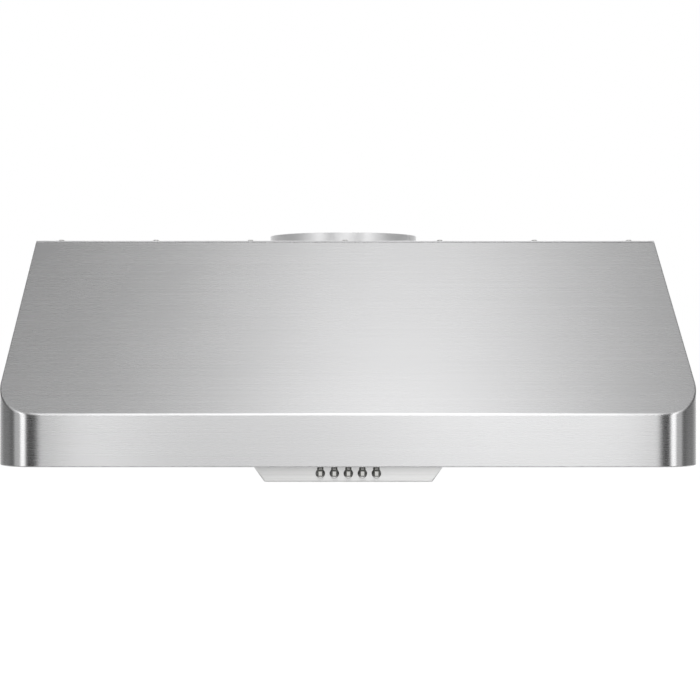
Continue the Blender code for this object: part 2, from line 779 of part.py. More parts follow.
def push_key(name, x):
    """A plated key cap, with its sloped upper facet, on a round stem into the switch."""
    half_width, thickness = 3.2 * MM, 3.4 * MM
    top, facet, foot = BOTTOM_Z - 0.3 * MM, BOTTOM_Z - 3.5 * MM, BOTTOM_Z - 10.3 * MM
    rear = BOX_FRONT_Y - BUSH_PROUD - KEY_TRAVEL - 0.6 * MM
    front = rear - thickness
    at_stem = Vector((x, rear, KEY_Z))
    bm = box_mesh((x - half_width, front, foot), (x + half_width, rear, top))
    upper_front = [vert for vert in bm.verts if vert.co.z > facet and vert.co.y < rear - MERGE]
    for vert in upper_front:
        vert.co.z = facet
    bmesh.ops.translate(bm, verts=bm.verts, vec=-at_stem)
    obj = object_from(name, bm, CHROME, at_stem)
    stem_end = BOX_FRONT_Y + SHEET + 0.5 * MM + 12 * MM
    length = stem_end - rear + 1 * MM
    middle = (0, length / 2 - 1 * MM, 0)
    stem = cylinder_mesh(middle, 2.4 * MM, length, "Y", 16)
    return join(obj, helper_from(f"{name}_stem", stem, at_stem))


def control_box():
    """The hanging box with the keys: its ends slope in below the canopy's bottom edge."""
    rear = BOX_FRONT_Y + BOX_DEPTH
    bottom = BOTTOM_Z - BOX_DROP
    bm = box_mesh((-BOX_HALF_WIDTH, BOX_FRONT_Y, bottom), (BOX_HALF_WIDTH, rear, BOX_TOP_Z))
    geometry = bm.verts[:] + bm.edges[:] + bm.faces[:]
    bmesh.ops.bisect_plane(bm, geom=geometry, plane_co=(0, 0, BOTTOM_Z), plane_no=(0, 0, 1))
    for vert in bm.verts:
        if vert.co.z < bottom + MERGE:
            vert.co.x -= math.copysign(BOX_TAPER, vert.co.x)
    open_window(bm, (0, 0, 1), 0)
    obj = thicken(object_from("control_box", bm, STEEL))
    holes = bmesh.new()
    for x in key_places():
        add_cylinder(holes, (x, BOX_FRONT_Y, KEY_Z), BUSH_RADIUS + GAP, 10 * MM, "Y", 24)
    return cut(obj, helper_from("key_holes", holes))


def lamp(side_name, side):
    """An LED lamp: trim ring and lens under the pan, lamp body above it."""
    at_lamp = Vector((side * LAMP_X, LAMP_Y, 0))
    under = PAN_UNDER_Z - GAP
    ring = [
        (30 * MM, under),
        (34 * MM, under),
        (34 * MM, under - 1.2 * MM),
        (31 * MM, under - 2.6 * MM),
        (26 * MM, under - 2.6 * MM),
        (26 * MM, under),
    ]
    smooth(turned(f"lamp_trim_{side_name}", ring, CHROME, at_lamp, steps=40))
    lens = cylinder_mesh((0, 0, under - 1.2 * MM), 25.6 * MM, 1.6 * MM, segments=40)
    smooth(object_from(f"lamp_lens_{side_name}", lens, LENS, at_lamp))
    body_top = PAN_TOP_Z + 22 * MM
    body = [
        (0, body_top),
        (24 * MM, body_top),
        (28.5 * MM, body_top - 6 * MM),
        (28.5 * MM, under + GAP),
        (26.5 * MM, under + GAP),
        (26.5 * MM, body_top - 8 * MM),
        (0, body_top - 8 * MM),
    ]
    smooth(turned(f"lamp_body_{side_name}", body, ALUMINIUM, at_lamp, steps=32))


# ---------------------------------------------------------------- underside


def bottom_pan():
    half = HALF_WIDTH - PAN_CLEARANCE
    bm = rounded_block(
        (-half, FRONT_Y + PAN_CLEARANCE, BOTTOM_Z + SHEET + GAP),
        (half, -4.5 * MM, PAN_TOP_Z),
        CORNER_RADIUS - PAN_CLEARANCE,
    )
    open_window(bm, (0, 0, -1), 0)
    obj = smooth(thicken(object_from("bottom_pan", bm, STEEL)))
    openings = bmesh.new()
    reach, edge = 10 * MM, 12 * MM
    for side in (-1, 1):
        middle = side * FILTER_CENTRE_X
        half = FILTER_WIDTH / 2 - reach
        low = (middle - half, FILTER_FRONT_Y + edge, PAN_TOP_Z - 6 * MM)
        high = (middle + half, FILTER_REAR_Y + edge, PAN_TOP_Z + 6 * MM)
        add_box(openings, low, high)
        add_cylinder(openings, (side * LAMP_X, LAMP_Y, PAN_TOP_Z), LAMP_HOLE_RADIUS, 10 * MM,
                     segments=32)
    wire_low = (2 * MM, -541 * MM, PAN_TOP_Z - 6 * MM)
    wire_high = (38 * MM, -518 * MM, PAN_TOP_Z + 6 * MM)
    add_box(openings, wire_low, wire_high)
    return cut(obj, helper_from("pan_openings", openings))


def filter_ledge():
    """The strip behind the filter openings that the filters' rear tabs hook over."""
    top = PAN_UNDER_Z - GAP - SHEET
    lip = HINGE_Z - 1.5 * MM
    rear = HINGE_Y + 9.5 * MM
    profile = [(HINGE_Y, lip), (rear, lip), (rear, top), (rear + 15 * MM, top)]
    return bent_strip("filter_ledge", profile, 0, 350 * MM, STEEL)


def filter_frame(name, middle):
    """A channel-section frame, open inwards, with two tabs behind the hinge line and the
    strap that carries its bolt."""
    at_hinge = Vector((middle, HINGE_Y, HINGE_Z))
    half = FILTER_WIDTH / 2
    bm = box_mesh(
        (-half, FILTER_FRONT_Y - HINGE_Y, FILTER_UNDER_Z - HINGE_Z),
        (half, FILTER_REAR_Y - HINGE_Y, FILTER_TOP_Z - HINGE_Z),
    )
    for direction in ((0, 0, 1), (0, 0, -1)):
        open_window(bm, direction, FILTER_BORDER)
    obj = thicken(object_from(name, bm, STEEL, at_hinge), FILTER_SHEET)
    tabs = bmesh.new()
    for x in (-110 * MM, 110 * MM):
        low = (x - 15 * MM, FILTER_REAR_Y - HINGE_Y - 0.5 * MM, FILTER_TOP_Z - HINGE_Z - 1.2 * MM)
        high = (x + 15 * MM, 6.5 * MM, FILTER_TOP_Z - HINGE_Z - 0.1 * MM)
        add_box(tabs, low, high)
    join(obj, helper_from(f"{name}_tabs", tabs, at_hinge))
    front, under = FILTER_FRONT_Y - HINGE_Y, FILTER_UNDER_Z - HINGE_Z
    strap = box_mesh(
        (-14 * MM, front + 0.5 * MM, under - 3.4 * MM),
        (14 * MM, front + 4.5 * MM, under + 0.4 * MM),
    )
    join(obj, helper_from(f"{name}_strap", strap, at_hinge))
    slot = box_mesh(
        (-BOLT_HALF_WIDTH - 0.4 * MM, front - 5 * MM, under - 2.2 * MM),
        (BOLT_HALF_WIDTH + 0.4 * MM, front + 8 * MM, under),
    )
    return cut(obj, helper_from(f"{name}_slot", slot, at_hinge))


def channel_slat(bm, x, base_z, lip, low_y, high_y):
    """One baffle: a flat strip whose long edges turn by lip, up or down."""
    half = BAFFLE_WIDTH / 2
    section = [(-half, lip), (-half, 0), (half, 0), (half, lip)]
    points = [(x + px, low_y, base_z + pz) for px, pz in section]
    swept(bm, points, (0, high_y - low_y, 0))


def filter_baffles(name, middle):
    """Two layers of interleaved channel slats between a rail at each end."""
    at_hinge = Vector((middle, HINGE_Y, HINGE_Z))
    margin = FILTER_SHEET + GAP
    low_z = FILTER_UNDER_Z - HINGE_Z + margin
    high_z = FILTER_TOP_Z - HINGE_Z - margin
    low_y = FILTER_FRONT_Y - HINGE_Y + margin
    high_y = FILTER_REAR_Y - HINGE_Y - margin
    rail = 2 * MM
    rails = bmesh.new()
    half = FILTER_WIDTH / 2 - margin - 1 * MM
    for start in (low_y, high_y - rail):
        add_box(rails, (-half, start, low_z), (half, start + rail, high_z))
    slats = bmesh.new()
    for number in range(LOWER_BAFFLES):
        x = (number - (LOWER_BAFFLES - 1) / 2) * BAFFLE_PITCH
        channel_slat(slats, x, low_z + 0.5 * MM, BAFFLE_LIP, low_y + 1 * MM, high_y - 1 * MM)
    for number in range(LOWER_BAFFLES - 1):
        x = (number - (LOWER_BAFFLES - 2) / 2) * BAFFLE_PITCH
        channel_slat(slats, x, high_z - 0.5 * MM, -BAFFLE_LIP, low_y + 1 * MM, high_y - 1 * MM)
    obj = thicken(object_from(name, slats, STEEL, at_hinge), FILTER_SHEET, offset=0.0)
    return join(obj, helper_from(f"{name}_rails", rails, at_hinge))


def filter_latch(name, middle):
    """The sliding bolt under a filter's front edge, with its finger knob."""
    bolt_top = FILTER_UNDER_Z - GAP
    bolt_under = bolt_top - 1.5 * MM
    at_bolt = Vector((middle, FILTER_FRONT_Y + 9 * MM, bolt_under))
    bm = box_mesh((-BOLT_HALF_WIDTH, -14 * MM, 0), (BOLT_HALF_WIDTH, 8 * MM, 1.5 * MM))
    obj = object_from(name, bm, CHROME, at_bolt)
    knob = bmesh.new()
    add_box(knob, (-7 * MM, -3 * MM, -7 * MM), (7 * MM, 4 * MM, 0.5 * MM))
    narrow = [vert for vert in knob.verts if vert.co.z < -6 * MM]
    bmesh.ops.scale(knob, verts=narrow, vec=(0.86, 0.7, 1))
    return join(obj, helper_from(f"{name}_knob", knob, at_bolt))


def filter_catch(name, middle):
    """The bent angle in front of a filter that its sprung bolt bears against."""
    top = PAN_UNDER_Z - GAP - SHEET
    leg = FILTER_FRONT_Y - 6.5 * MM
    foot = FILTER_UNDER_Z - 3.5 * MM
    profile = [(leg - 12 * MM, top), (leg, top), (leg, foot)]
    return bent_strip(name, profile, middle, 12 * MM, STEEL)


# ---------------------------------------------------------------- wiring


def smooth_route(points, per_span):
    """Catmull-Rom points through the route's own points."""
    route = [Vector(point) * MM for point in points]
    route = [2 * route[0] - route[1], *route, 2 * route[-1] - route[-2]]
    found = []
    for before, start, end, after in zip(route, route[1:], route[2:], route[3:]):
        for step in range(per_span):
            t = step / per_span
            found.append(
                0.5
                * (
                    2 * start
                    + (end - before) * t
                    + (2 * before - 5 * start + 4 * end - after) * t**2
                    + (3 * start - before - 3 * end + after) * t**3
                )
            )
    return [*found, route[-2]]


def harness(name, points, radius=2.6 * MM, per_span=4):
    data = bpy.data.curves.new(name, "CURVE")
    data.dimensions = "3D"
    data.bevel_depth = radius
    data.bevel_resolution = 2
    data.use_fill_caps = True
    route = smooth_route(points, per_span)
    spline = data.splines.new("POLY")
    spline.points.add(len(route) - 1)
    for point, place in zip(spline.points, route):
        point.co = (*place, 1)
    data.materials.append(GREY)
    obj = bpy.data.objects.new(name, data)
    HOOD.objects.link(obj)
    return obj


# The wires' routes inside the canopy, in millimetres, from the junction box outwards
SWITCH_ROUTE = [
    (225, -96, -30), (225, -125, -31), (205, -200, -36), (185, -300, -58),
    (140, -390, -118), (85, -470, -178), (38, -516, -206), (20, -529, -225), (20, -530, -246.6),
]
MOTOR_ROUTE = [
    (204, -78, -30), (180, -82, -32), (140, -118, -52), (118, -168, -92), (100, -196, -118),
    (89, -202, -125),
]
LAMP_RIGHT_ROUTE = [
    (290, -96, -30), (290, -130, -31), (296, -250, -48), (292, -350, -104), (268, -450, -165),
    (248, -492, -186), (245, -498, -196), (245, -498, -204),
]
LAMP_LEFT_ROUTE = [
    (204, -40, -30), (176, -50, -34), (110, -66, -42), (0, -70, -44), (-180, -72, -44),
    (-270, -120, -50), (-300, -250, -64), (-290, -360, -112), (-262, -460, -172),
    (-248, -492, -186), (-245, -498, -196), (-245, -498, -204),
]


def build():
    holes = ridge_holes()
    slope_panel(holes)
    front_fascia()
    side_panel("side_panel_left", -1)
    side_panel("side_panel_right", 1)
    top_plate(holes)
    back_panel()
    rear_outlet_cover()
    for number, place in enumerate(screw_places(), 1):
        screw(f"ridge_screw_{number}", place, 5 * MM)

    duct_collar()
    damper_rod()
    damper_flap("damper_flap_front", -1, 60 * MM)
    damper_flap("damper_flap_rear", 1, 36 * MM)
    for number, place in enumerate(collar_screw_places(), 1):
        above = place + Vector((0, 0, GAP + COLLAR_WALL))
        screw(f"collar_screw_{number}", above, 5 * MM)

    blower_scroll()
    blower_side("blower_side_left", -1)
    blower_side("blower_side_right", 1)
    fan_wheel()
    motor()
    motor_shaft()
    motor_bracket()

    junction_box()
    junction_box_cover()
    cable_gland()
    capacitor()
    switch_block()
    for name, x in zip(KEY_NAMES, key_places()):
        push_key(name, x)
    control_box()
    harness("wire_switch", SWITCH_ROUTE)
    harness("wire_motor", MOTOR_ROUTE)
    harness("wire_lamp_right", LAMP_RIGHT_ROUTE)
    harness("wire_lamp_left", LAMP_LEFT_ROUTE)

    bottom_pan()
    filter_ledge()
    for side_name, side in (("left", -1), ("right", 1)):
        middle = side * FILTER_CENTRE_X
        lamp(side_name, side)
        filter_frame(f"filter_frame_{side_name}", middle)
        filter_baffles(f"filter_baffles_{side_name}", middle)
        filter_latch(f"filter_latch_{side_name}", middle)
        filter_catch(f"filter_catch_{side_name}", middle)


build()
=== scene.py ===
# %% [markdown]
# # An under cabinet range hood
# A range hood is a sheet metal box that hangs under a kitchen cabinet. Its front slopes back,
# so the cook's head has room, and a short upright fascia carries the rounded front corners.
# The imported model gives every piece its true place. This script adds what a picture needs:
# rolled edges, brushed and plated finishes, a studio and a camera.

# %% Load the frame
import math

import bmesh
import bpy
from mathutils import Matrix, Vector


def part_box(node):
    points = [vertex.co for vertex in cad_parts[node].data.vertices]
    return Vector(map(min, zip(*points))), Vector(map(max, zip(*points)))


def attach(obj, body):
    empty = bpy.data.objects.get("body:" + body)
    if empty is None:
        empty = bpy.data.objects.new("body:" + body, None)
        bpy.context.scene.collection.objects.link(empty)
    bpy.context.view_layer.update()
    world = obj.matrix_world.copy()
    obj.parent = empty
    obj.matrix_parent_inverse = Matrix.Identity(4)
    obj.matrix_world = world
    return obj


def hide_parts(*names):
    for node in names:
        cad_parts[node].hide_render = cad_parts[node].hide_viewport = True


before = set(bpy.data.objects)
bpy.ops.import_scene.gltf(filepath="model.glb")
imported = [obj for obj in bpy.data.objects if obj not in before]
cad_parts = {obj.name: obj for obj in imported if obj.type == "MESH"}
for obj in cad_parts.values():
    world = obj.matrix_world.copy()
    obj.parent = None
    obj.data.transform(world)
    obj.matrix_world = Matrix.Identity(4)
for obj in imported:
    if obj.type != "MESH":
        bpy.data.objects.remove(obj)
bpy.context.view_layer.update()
MM = 0.001

# %% [markdown]
# ## Places read from the frame
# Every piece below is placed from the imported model's own boxes, so that a new piece lies
# exactly where the piece that it stands for lies.

# %% Places read from the frame
fascia_low, fascia_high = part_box("front_fascia")
side_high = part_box("side_panel_right")[1]
pan_low, pan_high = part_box("bottom_pan")
half_width = fascia_high.x
front_y = fascia_low.y
bottom_z = fascia_low.z
flange_z = side_high.z
FASCIA_HEIGHT = 56.5 * MM
SLOPE_TILT = math.radians(40)
fascia_top_z = bottom_z + FASCIA_HEIGHT
slope_normal = Vector((0, -math.sin(SLOPE_TILT), math.cos(SLOPE_TILT)))
slope_foot = Vector((0, front_y, fascia_top_z))
ridge_y = front_y + (flange_z - fascia_top_z) / math.tan(SLOPE_TILT)
SHEET = 1.2 * MM
print("ridge at", round(ridge_y, 4), "fascia top at", round(fascia_top_z, 4))

# %% [markdown]
# ## Shader sums as Python
# A material is a graph of nodes. Wiring it by hand is long, so one small class wraps a
# socket and lets it be added and multiplied, and one method adds any other node.

# %% The graph helpers
def feed(tree, socket, value):
    if isinstance(value, Wire):
        tree.links.new(value.socket, socket)
    else:
        socket.default_value = value


class Wire:
    """One output socket, which sums and products can use."""

    def __init__(self, tree, socket):
        self.tree = tree
        self.socket = socket

    def math(self, operation, first, second=0.0, third=0.0):
        node = self.tree.nodes.new("ShaderNodeMath")
        node.operation = operation
        for socket, value in zip(node.inputs, (first, second, third)):
            feed(self.tree, socket, value)
        return Wire(self.tree, node.outputs[0])

    def __add__(self, other):
        return self.math("ADD", self, other)

    def __radd__(self, other):
        return self.math("ADD", other, self)

    def __sub__(self, other):
        return self.math("SUBTRACT", self, other)

    def __rsub__(self, other):
        return self.math("SUBTRACT", other, self)

    def __mul__(self, other):
        return self.math("MULTIPLY", self, other)

    def __rmul__(self, other):
        return self.math("MULTIPLY", other, self)

    def __abs__(self):
        return self.math("ABSOLUTE", self)

    def clamped(self):
        return self.math("MINIMUM", self.math("MAXIMUM", self, 0.0), 1.0)


class Graph:
    """A node tree that makes any node in one call and returns one of its outputs."""

    def __init__(self, tree):
        self.tree = tree

    def add(self, kind, settings=None, out=0, **inputs):
        node = self.tree.nodes.new(kind)
        for name, value in (settings or {}).items():
            if name == "stops":
                set_stops(node.color_ramp, value)
            else:
                setattr(node, name, value)
        for name, value in inputs.items():
            feed(self.tree, node.inputs[name.replace("_", " ")], value)
        return Wire(self.tree, node.outputs[out])

    def mix(self, share, first, second):
        node = self.tree.nodes.new("ShaderNodeMix")
        node.data_type = "RGBA"
        colours = [item for item in node.inputs if item.type == "RGBA"]
        feed(self.tree, node.inputs[0], share)
        feed(self.tree, colours[0], as_colour(first))
        feed(self.tree, colours[1], as_colour(second))
        return Wire(self.tree, next(item for item in node.outputs if item.type == "RGBA"))


def as_colour(value):
    if isinstance(value, Wire):
        return value
    return (*value, 1.0)


def set_stops(ramp, stops):
    while len(ramp.elements) < len(stops):
        ramp.elements.new(1.0)
    for element, (place, value) in zip(ramp.elements, stops):
        element.position = place
        element.color = (value, value, value, 1.0) if isinstance(value, float) else as_colour(value)


print("graph helpers ready")

# %% [markdown]
# ## The studio
# Polished metal has hardly any colour of its own: it shows the room. So the room is the
# first thing to make. The background is plain white for the camera, and the floor is pale.
# What the metal mirrors is a ring of soft panels round the set: a broad bright field in
# front, dark screens to the left and right of it, narrow bright strips behind those, and a
# large soft panel overhead that is brightest above the middle.

# %% The room that the metal mirrors
world = bpy.data.worlds.new("studio")
bpy.context.scene.world = world
world.use_nodes = True
world.node_tree.nodes.clear()
room = Graph(world.node_tree)
bearing = room.add("ShaderNodeTexCoord", out="Generated")
parts = room.add("ShaderNodeSeparateXYZ", Vector=bearing).socket.node.outputs
to_right, to_back, upwards = (Wire(world.node_tree, part) for part in parts)
turn = to_right.math("ARCTAN2", to_right, 0.0 - to_back) * (1 / math.pi)
height = upwards.math("ARCSINE", upwards) * (2 / math.pi)


def by_degrees(stops, full):
    return [(place / full, float(value)) for place, value in stops]


# Brightness by how far round the set a panel stands, in degrees from straight in front
SIDE_PANELS = [
    (0, 1.0), (13.3, 1.0), (14.6, 0.25), (16.5, 0.02), (27, 0.02), (29.5, 0.7),
    (31.5, 1.9), (42, 1.9), (44, 0.72), (61, 0.68), (66, 0.3), (72, 0.15), (95, 0.13),
    (110, 0.16), (123, 0.3), (150, 0.7), (165, 1.3), (180, 1.5),
]
around = room.add(
    "ShaderNodeValToRGB", {"stops": by_degrees(SIDE_PANELS, 180)}, Fac=abs(turn)
)
# The field in front, from 20 degrees left to 20 degrees right
FRONT_FIELD = [
    (0, 1.0), (2.5, 1.0), (3.5, 0.1), (8.3, 0.02), (9.1, 1.0), (9.8, 2.5), (11, 1.85),
    (12.4, 1.04), (14.5, 0.99), (16, 1.06), (20, 1.18), (23, 1.36), (25.5, 1.55), (27, 1.52),
    (29, 1.42), (31.5, 1.64), (33.2, 2.1), (34, 1.0), (40, 1.0),
]
middle = room.add(
    "ShaderNodeValToRGB", {"stops": by_degrees(FRONT_FIELD, 40)}, Fac=turn * 4.5 + 0.5
)
ring = around * middle
print("side panels:", len(SIDE_PANELS), "stops")

# %% The panel overhead and the strip between
across = (to_right - 0.055) * (1 / 0.14)
overhead = 0.25 + 0.57 * across.math("EXPONENT", across * across * -1.0)
along = to_back.math("EXPONENT", to_back * -5.2 + 0.82)
overhead = overhead * along.math("MINIMUM", along, 2.2)
# Where each of them begins, in degrees above or below level
ABOVE = [(0, 0.0), (44, 0.0), (54, 1.0), (90, 1.0)]
EDGE_STRIP = [(0, 0.0), (30, 0.0), (38, 1.0), (52, 1.0), (62, 0.0), (90, 0.0)]
BELOW = [(0, 0.0), (12, 0.0), (20, 1.0), (90, 1.0)]
above = room.add("ShaderNodeValToRGB", {"stops": by_degrees(ABOVE, 90)}, Fac=height)
strip = room.add("ShaderNodeValToRGB", {"stops": by_degrees(EDGE_STRIP, 90)}, Fac=height)
ahead = (0.0 - to_back - abs(to_right) * 2.2) * 5
strip = strip * ahead.clamped()
below = room.add("ShaderNodeValToRGB", {"stops": by_degrees(BELOW, 90)}, Fac=height * -1.0)
mirrored = ring * (1.0 - above) + overhead * above
mirrored = mirrored * (1.0 - strip) + 2.1 * strip
DOWN = [(0, 0.10), (40, 0.10), (55, 0.7), (90, 1.0)]
down = room.add("ShaderNodeValToRGB", {"stops": by_degrees(DOWN, 90)}, Fac=height * -1.0)
lower_front = (to_back * -3.0 + 0.5).clamped()
down = down * lower_front + 0.85 * (1.0 - lower_front)
mirrored = mirrored * (1.0 - below) + down * below
print("overhead panel ready")

# %% What the camera and the floor see
path = room.add("ShaderNodeLightPath").socket.node.outputs
for_camera = Wire(world.node_tree, path["Is Camera Ray"])
for_metal = Wire(world.node_tree, path["Is Glossy Ray"])
soft_room = 1.0 - for_metal
strength = mirrored * for_metal + 1.12 * soft_room
strength = strength * (1.0 - for_camera) + 1.0 * for_camera
glow = room.add("ShaderNodeBackground", Color=(1, 1, 1, 1), Strength=strength)
world_output = world.node_tree.nodes.new("ShaderNodeOutputWorld")
world.node_tree.links.new(glow.socket, world_output.inputs["Surface"])
bpy.context.scene.view_settings.view_transform = "Standard"
print("world nodes:", len(world.node_tree.nodes))

# %% [markdown]
# ## The floor and the camera
# The hood hangs from its cabinet, so the floor is a pale plane well below it, as a worktop
# would be. It is left out of the metal's reflections. The camera stands level in front of
# the hood, a little left of its middle and a little above its lower edge.

# %% Floor
FLOOR_Z, FLOOR_RADIUS = -1.95, 40
bm = bmesh.new()
bmesh.ops.create_circle(bm, cap_ends=True, radius=FLOOR_RADIUS, segments=64)
bmesh.ops.translate(bm, verts=bm.verts, vec=(0, 0, FLOOR_Z))
floor_mesh = bpy.data.meshes.new("floor")
bm.to_mesh(floor_mesh)
bm.free()
floor = bpy.data.objects.new("floor", floor_mesh)
bpy.context.scene.collection.objects.link(floor)
floor.visible_glossy = False
print("floor at", FLOOR_Z)

# %% Camera
camera_data = bpy.data.cameras.new("camera")
camera_data.lens = 74.9
camera_data.sensor_width = 36
camera = bpy.data.objects.new("camera", camera_data)
bpy.context.scene.collection.objects.link(camera)
camera_data.shift_x = 0.0384
camera_data.shift_y = -0.0373
camera.location = (-0.027, front_y - 1.5457, bottom_z + 0.1523)
camera.rotation_euler = (math.radians(90), 0, 0)
bpy.context.scene.camera = camera
print("camera", [round(value, 3) for value in camera.location])

# %% Lamps of the studio
def add_panel_light(name, place, aim, size, power):
    data = bpy.data.lights.new(name, "AREA")
    data.shape = "RECTANGLE"
    data.size, data.size_y = size
    data.energy = power
    light = bpy.data.objects.new(name, data)
    light.location = place
    light.rotation_euler = (Vector(aim) - Vector(place)).to_track_quat("-Z", "Y").to_euler()
    light.visible_glossy = False
    bpy.context.scene.collection.objects.link(light)
    return light


add_panel_light("key_panel", (-0.9, -2.2, 1.9), (0, -0.3, -0.1), (1.6, 1.0), 14)
add_panel_light("fill_panel", (1.4, -1.6, -0.2), (0, -0.3, -0.2), (1.0, 1.0), 5)
print("two soft panels")

# %% [markdown]
# ## Finishes
# Brushed stainless is steel that a belt has scratched in one direction. Up close it is a
# field of fine hairlines. They spread the reflections across the grain and leave them sharp
# along it, which is what anisotropy stands for. The hairlines themselves are noise, stretched
# along the grain until each blot becomes a line.

# %% Starting a finish
def new_finish(name, colour=(0.8, 0.8, 0.8), metallic=0.0, roughness=0.5, **constants):
    material = bpy.data.materials.new(name)
    material.use_nodes = True
    shader = material.node_tree.nodes["Principled BSDF"]
    shader.inputs["Base Color"].default_value = (*colour, 1.0)
    shader.inputs["Metallic"].default_value = metallic
    shader.inputs["Roughness"].default_value = roughness
    for socket, value in constants.items():
        shader.inputs[socket.replace("_", " ")].default_value = value
    return material, Graph(material.node_tree), shader


def bump(graph, shader, height, distance, strength=1.0):
    normal = graph.add(
        "ShaderNodeBump", Height=height, Distance=distance, Strength=strength
    )
    feed(graph.tree, shader.inputs["Normal"], normal)


def noise(graph, place, scale, detail=3.0, stretch=(1, 1, 1)):
    mapped = graph.add("ShaderNodeMapping", Vector=place, Scale=stretch)
    return graph.add(
        "ShaderNodeTexNoise", Vector=mapped, Scale=scale, Detail=detail, Roughness=0.6
    )


print("finish helpers ready")

# %% Brushed stainless
def brushed(name, stretch, colour=(0.70, 0.70, 0.705), roughness=0.27, grain=0.09, turn=0.25):
    """Grain lies along the axes that stretch leaves at 1 or 2."""
    material, graph, shader = new_finish(
        name, metallic=1.0, Anisotropic=0.96, Anisotropic_Rotation=turn
    )
    place = graph.add("ShaderNodeTexCoord", out="Object")
    hairs = noise(graph, place, 2.0, 4.0, [value * 1.0 for value in stretch])
    lines = noise(graph, place, 1.0, 2.0, [value * 0.35 for value in stretch])
    clouds = noise(graph, place, 9.0, 3.0)
    shade = (1.0 - grain) + grain * hairs + 0.5 * grain * lines
    tint = graph.mix(shade, (0.0, 0.0, 0.0), tuple(value / 0.98 for value in colour))
    feed(graph.tree, shader.inputs["Base Color"], tint)
    rough = roughness - 0.05 + 0.06 * hairs + 0.04 * clouds
    feed(graph.tree, shader.inputs["Roughness"], rough)
    bump(graph, shader, hairs + 0.6 * lines, 0.02 * MM, 0.16)
    return material


HORIZONTAL = (1.2, 1.2, 900)
ACROSS_TOP = (1.2, 900, 1.2)
brushed_front = brushed("brushed_front", HORIZONTAL)
ALONG_DEPTH = (900, 1.2, 1.2)
brushed_top = brushed("brushed_top", ACROSS_TOP, roughness=0.30)
brushed_panel = brushed("brushed_panel", HORIZONTAL, (0.84, 0.84, 0.835), 0.30, 0.26)
brushed_along = brushed("brushed_along", ALONG_DEPTH, (0.66, 0.66, 0.665), 0.30, turn=0.0)
print("brushed finishes ready")

# %% [markdown]
# Galvanised sheet is steel dipped in zinc. The zinc freezes in large flat crystals, each at
# its own angle, so the sheet looks like pale grey patchwork. Voronoi cells make that pattern.

# %% Galvanised sheet, plating, castings
def galvanised(name):
    material, graph, shader = new_finish(name, metallic=1.0, roughness=0.42)
    place = graph.add("ShaderNodeTexCoord", out="Object")
    cells = graph.add("ShaderNodeTexVoronoi", out="Color", Vector=place, Scale=150.0)
    shade = graph.add("ShaderNodeSeparateColor", Color=cells)
    tint = graph.mix(shade, (0.54, 0.56, 0.57), (0.66, 0.68, 0.69))
    feed(graph.tree, shader.inputs["Base Color"], tint)
    feed(graph.tree, shader.inputs["Roughness"], 0.40 + 0.10 * shade)
    bump(graph, shader, noise(graph, place, 300.0, 2.0), 0.03 * MM, 0.4)
    return material


def plated(name, colour, roughness, metallic=1.0):
    material, graph, shader = new_finish(name, colour, metallic, roughness)
    place = graph.add("ShaderNodeTexCoord", out="Object")
    haze = noise(graph, place, 160.0, 4.0)
    feed(graph.tree, shader.inputs["Roughness"], roughness - 0.03 + 0.07 * haze)
    tint = graph.mix(haze, tuple(0.92 * value for value in colour), colour)
    feed(graph.tree, shader.inputs["Base Color"], tint)
    return material


def cast(name, colour, roughness=0.5):
    material, graph, shader = new_finish(name, colour, 1.0, roughness)
    place = graph.add("ShaderNodeTexCoord", out="Object")
    pits = noise(graph, place, 900.0, 3.0)
    patches = noise(graph, place, 60.0, 3.0)
    tint = graph.mix(patches, tuple(0.8 * value for value in colour), colour)
    feed(graph.tree, shader.inputs["Base Color"], tint)
    feed(graph.tree, shader.inputs["Roughness"], roughness - 0.08 + 0.16 * patches)
    bump(graph, shader, pits, 0.08 * MM, 0.6)
    return material


zinc_sheet = galvanised("galvanised_sheet")
bright_plate = plated("bright_plate", (0.78, 0.78, 0.77), 0.10)
zinc_plate = plated("zinc_plate", (0.64, 0.64, 0.62), 0.30)
satin_plate = plated("satin_plate", (0.62, 0.62, 0.60), 0.36, 0.6)
collar_steel = plated("collar_steel", (0.80, 0.80, 0.805), 0.34, 0.62)
cast_metal = cast("cast_metal", (0.60, 0.61, 0.62))
print("sheet, plate and castings ready")

# %% Plastics, rubber and glass
def moulded(name, colour, roughness, grain=500.0, depth=0.03, coat=0.0):
    material, graph, shader = new_finish(name, colour, 0.0, roughness, Coat_Weight=coat)
    place = graph.add("ShaderNodeTexCoord", out="Object")
    texture = noise(graph, place, grain, 3.0)
    wear = noise(graph, place, 40.0, 3.0)
    tint = graph.mix(wear, tuple(0.8 * value for value in colour), colour)
    feed(graph.tree, shader.inputs["Base Color"], tint)
    feed(graph.tree, shader.inputs["Roughness"], roughness - 0.05 + 0.1 * wear)
    bump(graph, shader, texture, depth * MM, 0.6)
    return material


def frosted(name):
    material, graph, shader = new_finish(name, (0.93, 0.93, 0.91), 0.0, 0.3, IOR=1.5)
    place = graph.add("ShaderNodeTexCoord", out="Object")
    frost = noise(graph, place, 1500.0, 2.0)
    feed(graph.tree, shader.inputs["Roughness"], 0.25 + 0.15 * frost)
    shader.inputs["Alpha"].default_value = 0.82
    bump(graph, shader, frost, 0.02 * MM, 0.5)
    return material


black_plastic = moulded("black_plastic", (0.028, 0.028, 0.027), 0.45)
dark_key = moulded("dark_key", (0.035, 0.036, 0.030), 0.30, 300.0, 0.01, 0.3)
cable_sheath = moulded("cable_sheath", (0.16, 0.16, 0.165), 0.55, 900.0, 0.05)
white_case = moulded("white_case", (0.80, 0.80, 0.78), 0.42)
lamp_glass = frosted("lamp_glass")
floor_paint, *_ = new_finish("floor_paint", (0.93, 0.93, 0.93), 0.0, 0.9)
floor.data.materials.append(floor_paint)
print("materials:", len(bpy.data.materials))

